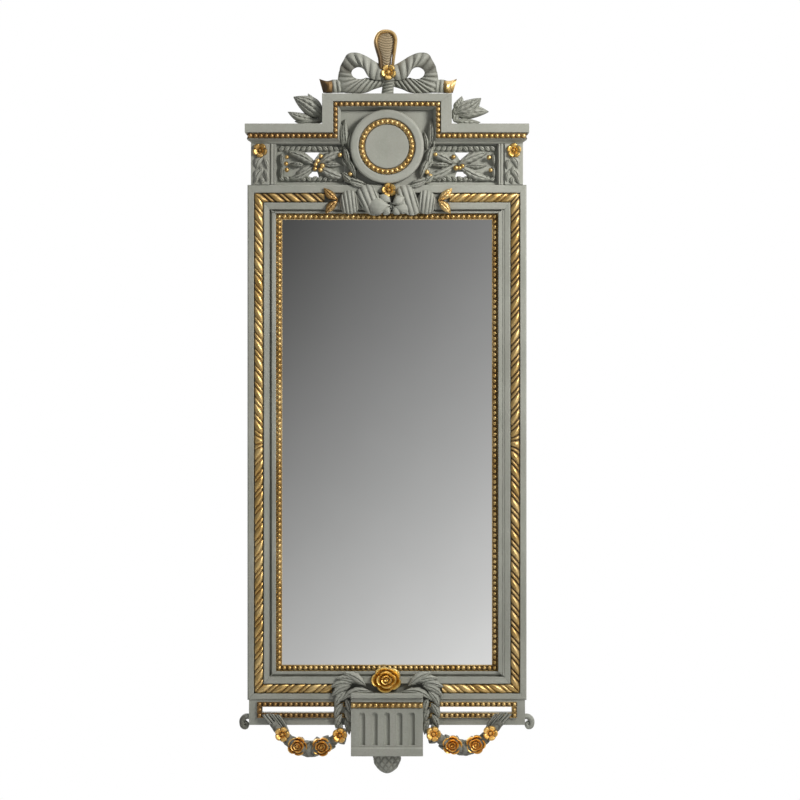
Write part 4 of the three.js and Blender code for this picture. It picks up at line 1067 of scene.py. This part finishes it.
# Each fold: lower and upper line, pleats, their depth, their slant, painted shade along the ribbon where
# it tucks under its neighbour, and how dark its valleys are painted, glaze with painted shade
SWAG_FOLDS = [
    ([(340.6, 209), (344.2, 213.0), (350, 214.4), (356, 212.6), (359.6, 208)],
     [(339.4, 201), (342.4, 194.2), (348, 190.8), (354.6, 192.0), (358.0, 199)],
     6.6, 3.0, 0.35, (0.15, 0, 0, 0.1, 0.75), 0.66),
    ([(361.6, 208), (367.4, 213.6), (374.4, 215.8), (381.0, 214.6), (386.4, 209)],
     [(356.0, 199), (358.2, 190.4), (364.6, 185.2), (372.4, 186.2), (378.6, 194)],
     5.4, 3.2, 0.5, (0.55, 0.05, 0, 0, 0.3), 0.60),
    ([(400.0, 208), (405, 213.6), (412.0, 215.6), (418.4, 213.4), (421.8, 207)],
     [(394.6, 197), (398.6, 188.4), (405.4, 185.6), (412.6, 188.6), (416.8, 197)],
     5.4, 3.0, 0.5, (0.35, 0, 0, 0, 0.7), 0.50),
    ([(417.0, 207), (420, 212.6), (425.8, 214.4), (431.6, 213.0), (435.4, 208)],
     [(417.6, 199), (421.2, 192.0), (427.6, 190.8), (433.4, 194.2), (436.6, 201)],
     6.6, 2.8, -0.35, (0.4, 0, 0, 0.1, 0.6), 0.60),
]
# Each petal: root, tip, width, how far it lies in front, rise, bend, and where it is widest
SWAG_PETALS = [
    ((390.5, 206), (367.6, 206), 31, 2.6, 14.0, 1, 1.2),
    ((391, 203), (379.8, 195.8), 18, 0.8, 11.6, 0, 1.1),
    ((393.5, 207), (410.4, 208.4), 21, 1.2, 11.0, -1, 1.2),
    ((390, 207), (383.4, 214.8), 15, 0.4, 10.4, 0, 1.1),
    ((393, 207), (399.4, 214.8), 15, 0.6, 10.2, 0, 1.1),
    ((392.5, 204.6), (404.4, 198.0), 18, 4.4, 14.2, 0, 1.0),
]
SWAG_TIPS = [((438.0, 200.6), (452.0, 188.6), -1.5), ((438.0, 200.6), (450.4, 213.6), 1.5)]


def make_swag():
    """Pleated ribbon swag on the top rail with a flower at its middle and gilded leaf tips."""
    back = FRAME_FRONT
    folds = [band(line(low), line(high), back, [3, 8, 11, 11.5, 9, 4], pleats, depth, slant=slant,
                  edge=0.25, deep=deep, glaze=glaze)
             for low, high, pleats, depth, slant, deep, glaze in SWAG_FOLDS]
    folds += [leaf(at(root, 187.5), at(tip, 181.4), 8.5, back - 0.4, 6.5, bend, along=20, across=9)
              for root, tip, bend in ((367, 347.6, 1.5), (409, 427, -1.5))]
    piece("ribbon_swag_folds", folds, "grey_paint", ["ribbon_swag"])
    # A strong glaze paints the petals' edges dark: painted shade round each petal.
    petals = [leaf(at(*a), at(*b), width, back + up, rise, bend, full=full, midrib=0.1, across=17,
                   glaze=1.7) for a, b, width, up, rise, bend, full in SWAG_PETALS]
    heart = rosette(at(391.8, 205.8), 4.4, back + 4.0, 6.2, 5, 0.5, 0.5)
    piece("swag_flower", [*petals, heart], "grey_paint")
    gilt = rosette(at(388.8, 190.4), 12.6, back, 11.2, 5, 0.6, 0.32)
    piece("swag_rosette", [gilt], "rosette_gilding")
    for name, side in HANDS:
        tips = [leaf(*line(handed((root, tip), side, BOW_MIDDLE)), 14.5, back, 9.0, side * bend,
                     across=15, full=0.9) for root, tip, bend in SWAG_TIPS]
        piece(f"swag_leaf_tips_{name}", tips, "crest_gilding")


# ---------------------------------------------------------------- apron
def make_apron_pearls():
    """Round each slot of the apron rail: a gilded trough above and below it, a flat bed at its
    outer end, and a row of pearls on all three."""
    top, bottom, end, half, depth = -866.8, -885.3, 216.3, 4.2, 27.2
    trough = softened([(-half, 24.2, 0.8), (-half, 26.7, 0.4), (-3.2, 26.9, 0.5),
                       (-2.8, 26.2, 1.0), (2.8, 26.2, 1.0), (3.2, 26.9, 0.5), (half, 26.7, 0.4),
                       (half, 24.2, 0.8)], 0.3, 2)
    flat = softened([(-half, 24.2, 0.8), (-half, 26.7, 0.4), (half, 26.7, 0.9),
                     (half, 24.2, 0.8)], 0.3, 2)
    for name, side in HANDS:
        beds = []
        for y in (top, bottom):
            ends = [corner_ring(side * x, y + trough[:, 0], trough[:, 1]) for x in (62, end + half)]
            beds.append(straight(*ends, trough[:, 2]))
        ends = [corner_ring(side * end + flat[:, 0], y, flat[:, 1])
                for y in (bottom + half, top - half)]
        beds.append(straight(*ends, flat[:, 2]))
        rows = np.concatenate([
            row_of((side * 66, top), (side * end, top), 8.9, depth),
            row_of((side * 66, bottom), (side * end, bottom), 8.9, depth),
            row_of((side * end, top), (side * end, bottom), 9.2, depth)[1:-1],
        ])
        piece(f"slot_border_{name}", beds, "crest_gilding")
        piece(f"slot_pearls_{name}", [pearls(rows, 3.6)], "crest_gilding")


# Line of each volute, inwards, and its painted shade: the left one, turned from the lamp, is painted
# dark
SCROLLS = {
    "left": ([(250.0, 716.6), (245.4, 716.8), (242.2, 720.6), (242.6, 726.0), (245.6, 727.4),
              (247.2, 724.4), (245.6, 722.6)], 0.9),
    "right": ([(523.4, 716.6), (528.4, 717.0), (531.6, 720.8), (531.2, 726.0), (528.2, 727.2),
               (526.6, 724.2), (528.2, 722.6)], 0.0),
}


def make_scrolls():
    """Volute at each end of the apron rail: a strand that curls round a small eye."""
    for name, (points, dark) in SCROLLS.items():
        def shaded(s, a):
            return 1 + 0 * s * a, dark * np.clip(4 * s, 0, 1) + 0 * a
        body = strand(line(points), 15.0, [4.6, 5.0, 5.0, 4.6, 3.8, 3.2],
                      [6.6, 6.6, 6.4, 6.0, 5.4], shaded, 60)
        eye = rosette(line(points)[-1], 3.4, 12.0, 9.4, 5, 0.0, 0.6)
        piece(f"carved_scroll_{name}", [body, eye], "grey_paint", [f"apron_scroll_{name}"])


BRACKET_FOOT, BRACKET_HALF, BRACKET_PEARLS_Y = -952.5, 61.0, -866.5
FLUTES = (-42, -21, 0, 21, 42)


def bracket_depth(y):
    """Front depth of the bracket's side profile at a height, in millimetres above its foot: base,
    fillet, fluted body, pearl trough and cap."""
    heights = [0, 12.5, 13.5, 15.5, 16.2, 80.6, 81.0, 91.0, 91.6, 92.6, 98.2, 98.8, 99.2, 104.8,
               106]
    depths = [48.5, 48.5, 48.0, 46.4, 46, 46, 44.4, 44.4, 47.6, 48, 48, 49.6, 52, 52, 51.2]
    return np.interp(y, heights, depths)


def make_bracket():
    """Fluted bracket, as loops at many heights. Each loop's front follows the side profile less the
    flutes: a flute is 4.8 sqrt(1 - (d / 4.9)^2) deep, with d the distance to its centre line, or above
    flute_top to that line's end, which rounds it. Painted shade lies on each flute's right wall, the
    side turned from the lamp, and the pearl trough and fillet are painted dark."""
    flute_foot, flute_top, flute_half, flute_depth = 18.6, 69.0, 4.9, 4.8
    y = np.unique(np.concatenate([
        [0, 0.6, 1.2], np.arange(2, 12, 3.0), [12.5, 13.5, 14.5, 15.5, 16.2, 18.4, 18.8],
        np.arange(20, 66, 5.0), np.arange(66, 80.6, 0.8),
        [80.6, 80.9, 81.0, 81.6, 85, 90.4, 91.0, 91.3, 91.6, 92.1, 92.6, 95, 97.6, 98.2, 98.5, 98.8,
         99.2, 100, 104, 104.8, 105.4, 106]]))
    x = np.unique(np.concatenate([np.linspace(-BRACKET_HALF, BRACKET_HALF, 25),
                                  *[centre + np.linspace(-6.2, 6.2, 17) for centre in FLUTES]]))
    grid_y, grid_x = np.meshgrid(y, x, indexing="ij")
    depth = bracket_depth(grid_y)
    flutes, glaze = np.zeros_like(depth), np.zeros_like(depth)
    above = np.clip(grid_y - flute_top, 0, None)
    for centre in FLUTES:
        reach = np.hypot(grid_x - centre, above) / flute_half
        here = np.sqrt(np.clip(1 - reach**2, 0, 1)) * (grid_y > flute_foot)
        flutes = np.maximum(flutes, here)
        # Painted shade on the right wall of each flute.
        glaze += 0.42 * (here > 0.02) * np.clip((grid_x - centre + 0.5) / 3.0, 0, 1)
    round_off = 1.0 * (np.abs(grid_x) > BRACKET_HALF - 0.4)
    front_depth = depth - flute_depth * flutes - round_off
    front = np.stack([grid_x, BRACKET_FOOT + grid_y, front_depth], -1)
    back_depth = np.where(y > 50.2, FRAME_FRONT, 6.0)
    sides = [corner_ring(sign * BRACKET_HALF, BRACKET_FOOT + y, back_depth)[:, None]
             for sign in (1, -1)]
    # The pearl trough and the fillet are painted dark: glaze with painted shade.
    in_trough, in_fillet = (grid_y > 80.8) & (grid_y < 91.2), (grid_y > 15) & (grid_y < 16.6)
    shade = np.concatenate([glaze + in_trough + 0.5 * in_fillet, np.zeros((len(y), 2))], 1)
    body = skin(np.concatenate([front, *sides], 1), shade)
    piece("fluted_bracket", [body], "grey_paint", ["bracket"], 35)
    flat = softened([(-4.9, 44.0, 0.9), (-4.9, 45.0, 0.7), (4.9, 45.0, 0.7), (4.9, 44.0, 0.9)],
                    0.3, 2)
    ends = [corner_ring(x, BRACKET_PEARLS_Y + flat[:, 0], flat[:, 1]) for x in (-60.8, 60.8)]
    row = row_of((-56.8, BRACKET_PEARLS_Y), (56.8, BRACKET_PEARLS_Y), 9.5, 46.4)
    piece("bracket_pearls", [straight(*ends, flat[:, 2]), pearls(row, 4.2)], "gilding")


def make_bud():
    """Scaly bud under the bracket: a turned half-egg, flattened front to back, whose scales lie
    between two sets of slanting furrows; the radius follows the lower of their two ridges."""
    widest, height, columns = 24.4, 31.2, 11
    u = np.linspace(0, 1, 60)[:, None]
    a = round_angles(12 * columns)[None, :]
    radius = widest * np.clip(1 - u**2.3, 0, 1) ** 0.62 * (1 - 0.06 * (u < 0.05))
    level, turn = u**1.05 * 4.4, a * columns / (2 * np.pi)
    form = np.minimum(ridge(turn + 0.5 * level, 0.7), ridge(turn - 0.5 * level, 0.7))
    size = radius * (0.90 + 0.10 * form)
    y = BRACKET_FOOT - 0.4 - height * u
    rings = corner_ring(size * np.cos(a), y, 26.0 + 0.62 * size * np.sin(a))
    # Painted shade: an even darkening all over, more in the furrows between the scales.
    body = skin(rings, 0.22 + 0.78 * (1 - form) ** 1.3)
    piece("scaly_bud", [body], "grey_paint", ["bracket_bud"])


def make_rose():
    """Large gilded rose over the bracket."""
    flower = rose(at(386.4, 679.0), 26.6, 22.6, FRAME_FRONT, 19.0, 0.6)
    piece("bracket_rose_carved", [flower], "rose_gilding", ["bracket_rose"])


# Each leaf of the left bunch: root, tip, width, bend and how far it lies in front
BUNCH = [
    ((366, 685), (342.5, 671.6), 17, -3, 2.5), ((358, 681), (336.5, 677.5), 15, -2, 1.0),
    ((352, 683), (330.6, 686.5), 14, -3, 1.8), ((351, 685), (331.6, 695.5), 15, -4, 3.0),
    ((373, 690.5), (341, 700), 14.5, -8, 6.0), ((346, 690), (335, 706), 14.5, -3, 4.0),
    ((346, 697), (350.0, 713), 12.5, 2, 4.0), ((343, 702), (335, 717.5), 13.5, -2, 2.6),
    ((345, 708), (350.0, 723), 12.0, 2, 3.0), ((342, 713), (336, 728), 12.5, -2, 1.8),
    ((345, 718), (349.4, 734), 11.5, 2, 2.2), ((342, 722), (338.5, 737), 10.5, -1, 1.0),
]


def make_bunches():
    """Laurel from behind the rose, out over the bracket's shoulder and down beside it."""
    for name, side in HANDS:
        leaves = [leaf(*line(handed(ends, -side, SHEET_MIDDLE)), width, FRAME_FRONT + raised - 0.6,
                       8.6, -side * bend, teeth=4, full=0.85)
                  for *ends, width, bend, raised in BUNCH]
        piece(f"laurel_leaves_{name}", leaves, "grey_paint", [f"laurel_bunch_{name}"])


GARLANDS = {
    "left": {
        "line": [(273, 722), (277, 727), (283, 733.5), (291, 741), (300, 746.5), (310, 750),
                 (320, 747.5), (331, 741.5), (341, 732.5)],
        "rosettes": [(282.7, 733), (340, 734)], "roses": [(297.6, 745), (322, 745.6)],
        "tails": [
            [(262.0, 714.5), (270, 724), (280, 734)], [(268.6, 713), (275.6, 721.6), (283, 731.5)],
            [(274.4, 713.5), (280.6, 721), (286.6, 730)],
            [(280.4, 714.5), (285, 721), (289.4, 730.5)]],
        "sprigs": [
            ((298, 748), (292, 733.5)), ((300, 748), (303, 734.5)), ((300, 750), (312.5, 739)),
            ((320, 750), (309, 738.5)), ((320, 748), (316.5, 734)), ((322, 748), (329.5, 732.5)),
            ((300, 744), (288, 746.5)), ((322, 744), (338, 746.5)), ((303, 746), (309, 756.5)),
            ((318, 746), (311, 757)), ((338, 734), (345.5, 745)), ((335, 738), (349.5, 727))],
    },
    "right": {
        "line": [(500.5, 721), (496, 726), (490, 732), (482, 739.5), (474.5, 745), (464.6, 748.5),
                 (453.5, 746), (443.5, 740.5), (433, 731.5)],
        "rosettes": [(490, 731.8), (433.4, 732.6)], "roses": [(475.4, 743.4), (452, 744.0)],
        "tails": [
            [(512.0, 713.5), (503.5, 723), (493.5, 733)], [(505.4, 712), (498, 720.6), (490, 731)],
            [(499.6, 712.5), (493, 720), (486.6, 729)], [(493.6, 713.5), (489, 720), (484, 729.5)]],
        "sprigs": [
            ((476, 747), (482, 732.5)), ((474, 747), (471, 733.5)), ((474, 749), (461.5, 738)),
            ((454, 749), (465, 737.5)), ((454, 747), (457.5, 733)), ((452, 747), (444, 731.5)),
            ((474, 743), (486, 745.5)), ((452, 743), (436, 745.5)), ((471, 745), (465.6, 755)),
            ((456, 745), (463.4, 755.5)), ((436, 733), (428, 744)), ((438, 737), (424, 726))],
    },
}


def wrapped_leaves(s, a):
    """Overlapping wraps round the garland: ridges across it, leaning with the angle. The whole wrap is
    painted dark, darkest between the ridges: painted shade.
    """
    wrap = ridge(15 * s + 1.3 * np.sin(a), 0.6)
    rib = ridge(a * 6 / (2 * np.pi), 0.5)
    form = 0.65 * wrap + 0.35 * rib
    return 0.74 + 0.26 * form, np.clip(1.1 * (1 - form) ** 1.2 + 0.60, 0, 1)


def make_garlands():
    """Garland on each side of the bracket: a wrapped core, ribbon tails up to the apron rail,
    sprigs round the flowers, and on it two rosettes and two roses."""
    for name, parts in GARLANDS.items():
        core = strand(line(parts["line"]), FRAME_FRONT + 8.5, [6.5, 9.0, 11.0, 11.5, 11.0, 9.6, 7.5],
                      [5.5, 7.5, 8.3, 8.3, 8.3, 7.5, 6.5], wrapped_leaves, 150, 26)
        tails = [band(line(a), line(b), FRAME_FRONT, [7, 9, 9.5, 8], 0.0, 4.2, slant=1.9, count=40)
                 for a, b in zip(parts["tails"], parts["tails"][1:])]
        # The sprigs are painted dark all over and darker at their edges: painted shade.
        sprigs = [leaf(at(*a), at(*b) * 0.86 + at(*a) * 0.14, 17.0, FRAME_FRONT + 1.0 + 0.2 * k,
                       13.5, 1.0, along=20, across=11, full=0.95, glaze=1.3, base=0.50)
                  for k, (a, b) in enumerate(parts["sprigs"])]
        skins = [core, *tails, *sprigs]
        piece(f"garland_wrap_{name}", skins, "grey_paint", [f"garland_{name}"])
        rosettes = [rosette(at(x, y), 12.8, FRAME_FRONT + 13.0, 9.8, 5, 0.2 * x, 0.28)
                    for x, y in parts["rosettes"]]
        roses = [rose(at(x, y), 17.6, 16.4, FRAME_FRONT + 7.0, 15.6, 0.05 * x)
                 for x, y in parts["roses"]]
        piece(f"garland_flowers_{name}", rosettes + roses, "garland_gilding")


# ---------------------------------------------------------------- studio
def make_studio():
    """Pale floor that fades out, a lamp high on the right, softer ones on the left, above and
    behind, the camera, and a world: white behind the object, and in front of it a room of graded
    grey for the glass to show. Bare surfaces get an even, lower level from it."""
    scene = bpy.context.scene
    scene.view_settings.view_transform = "Standard"
    mesh = bpy.data.meshes.new("studio_floor")
    reach, floor_level = 3.2, -1.45
    corners = [(x * reach, y * reach, floor_level) for x, y in ((-1, -1), (1, -1), (1, 1), (-1, 1))]
    mesh.from_pydata(corners, [], [(0, 1, 2, 3)])
    floor = bpy.data.objects.new("studio_floor", mesh)
    scene.collection.objects.link(floor)
    b = finish_named("pale_floor")
    radius2 = b.place(0) * b.place(0) + b.place(1) * b.place(1)
    fade = radius2.between(1.2**2, 3.0**2)
    matt = b.make("ShaderNodeBsdfDiffuse", None, {"Color": (0.90, 0.90, 0.90)})
    clear = b.make("ShaderNodeBsdfTransparent")
    both = b.make("ShaderNodeMixShader", None, {0: fade, 1: Value(b, matt.outputs[0]),
                                                2: Value(b, clear.outputs[0])})
    out = b.make("ShaderNodeOutputMaterial")
    b.tree.links.new(both.outputs[0], out.inputs[0])
    mesh.materials.append(b.owner)

    world = bpy.data.worlds.new("studio_world")
    scene.world = world
    b = Bench(world)
    way = b.read("ShaderNodeTexCoord", "Generated")
    split = b.make("ShaderNodeSeparateXYZ", None, {0: way})
    x, y, z = (Value(b, split.outputs[k]) for k in range(3))
    low = z.least(0.15).most(-0.12)
    across = x.least(0.12).most(-0.12)
    grade = 0.271 - 2.65 * low + 8.6 * low * low + across * (2.5 - 9.0 * low)
    grade = grade + z.between(0.12, 0.75) * 0.50 + x.between(0.10, 0.80) * 0.10
    behind = y.between(-0.30, 0.15)
    room = grade.most(0.05) * (1.0 - behind) + behind * 1.0
    path = b.make("ShaderNodeLightPath")
    camera = Value(b, path.outputs["Is Camera Ray"])
    glossy = Value(b, path.outputs["Is Glossy Ray"])
    through = Value(b, path.outputs["Is Transmission Ray"])
    seen = camera.most(through)
    level = seen + (1.0 - seen) * (glossy * room * 1.1 + (1.0 - glossy) * 0.24)
    background = b.make("ShaderNodeBackground", None, {"Color": (1, 1, 1), "Strength": level})
    out = b.make("ShaderNodeOutputWorld")
    b.tree.links.new(background.outputs[0], out.inputs[0])

    def lamp(name, place, aim_at, size, power, colour):
        light = bpy.data.lights.new(name, "AREA")
        light.shape = "DISK"
        light.size = size
        light.energy = power
        light.color = colour
        holder = bpy.data.objects.new(name, light)
        scene.collection.objects.link(holder)
        holder.location = place
        aim = np.array(aim_at) - np.array(place)
        yaw = math.atan2(aim[1], aim[0]) - math.pi / 2
        pitch = math.acos(-aim[2] / np.linalg.norm(aim))
        holder.rotation_euler = (pitch, 0, yaw)

    lamp("lamp_right", (1.12, -1.15, 0.54), (0.0, 0.0, -0.25), 0.5, 31.0, (1.0, 0.985, 0.955))
    lamp("lamp_left", (-2.6, -3.0, 0.4), (0, 0, -0.35), 1.6, 7.0, (0.97, 0.985, 1.0))
    lamp("lamp_above", (0.2, -0.8, 2.6), (0, 0, -0.35), 1.2, 14.0, (1.0, 1.0, 1.0))
    lamp("lamp_rear", (-1.2, 3.0, 1.2), (0, 0, -0.35), 2.0, 70.0, (1.0, 1.0, 1.0))

    camera_data = bpy.data.cameras.new("front_camera")
    camera_data.lens = 135.0
    camera_data.sensor_width = 36.0
    viewer = bpy.data.objects.new("front_camera", camera_data)
    scene.collection.objects.link(viewer)
    viewer.location = (0.0221, -5.12, -0.350)
    viewer.rotation_euler = (math.pi / 2, 0, 0)
    scene.camera = viewer


make_studio()
dress_cad_nodes()
make_members()
make_slips()
make_ropes()
make_cornice()
make_pilasters()
make_laurel_panels()
make_roundel()
make_sprays()
make_bow()
make_plume()
make_shoulders()
make_swag()
make_apron_pearls()
make_scrolls()
make_bracket()
make_bud()
make_rose()
make_bunches()
make_garlands()
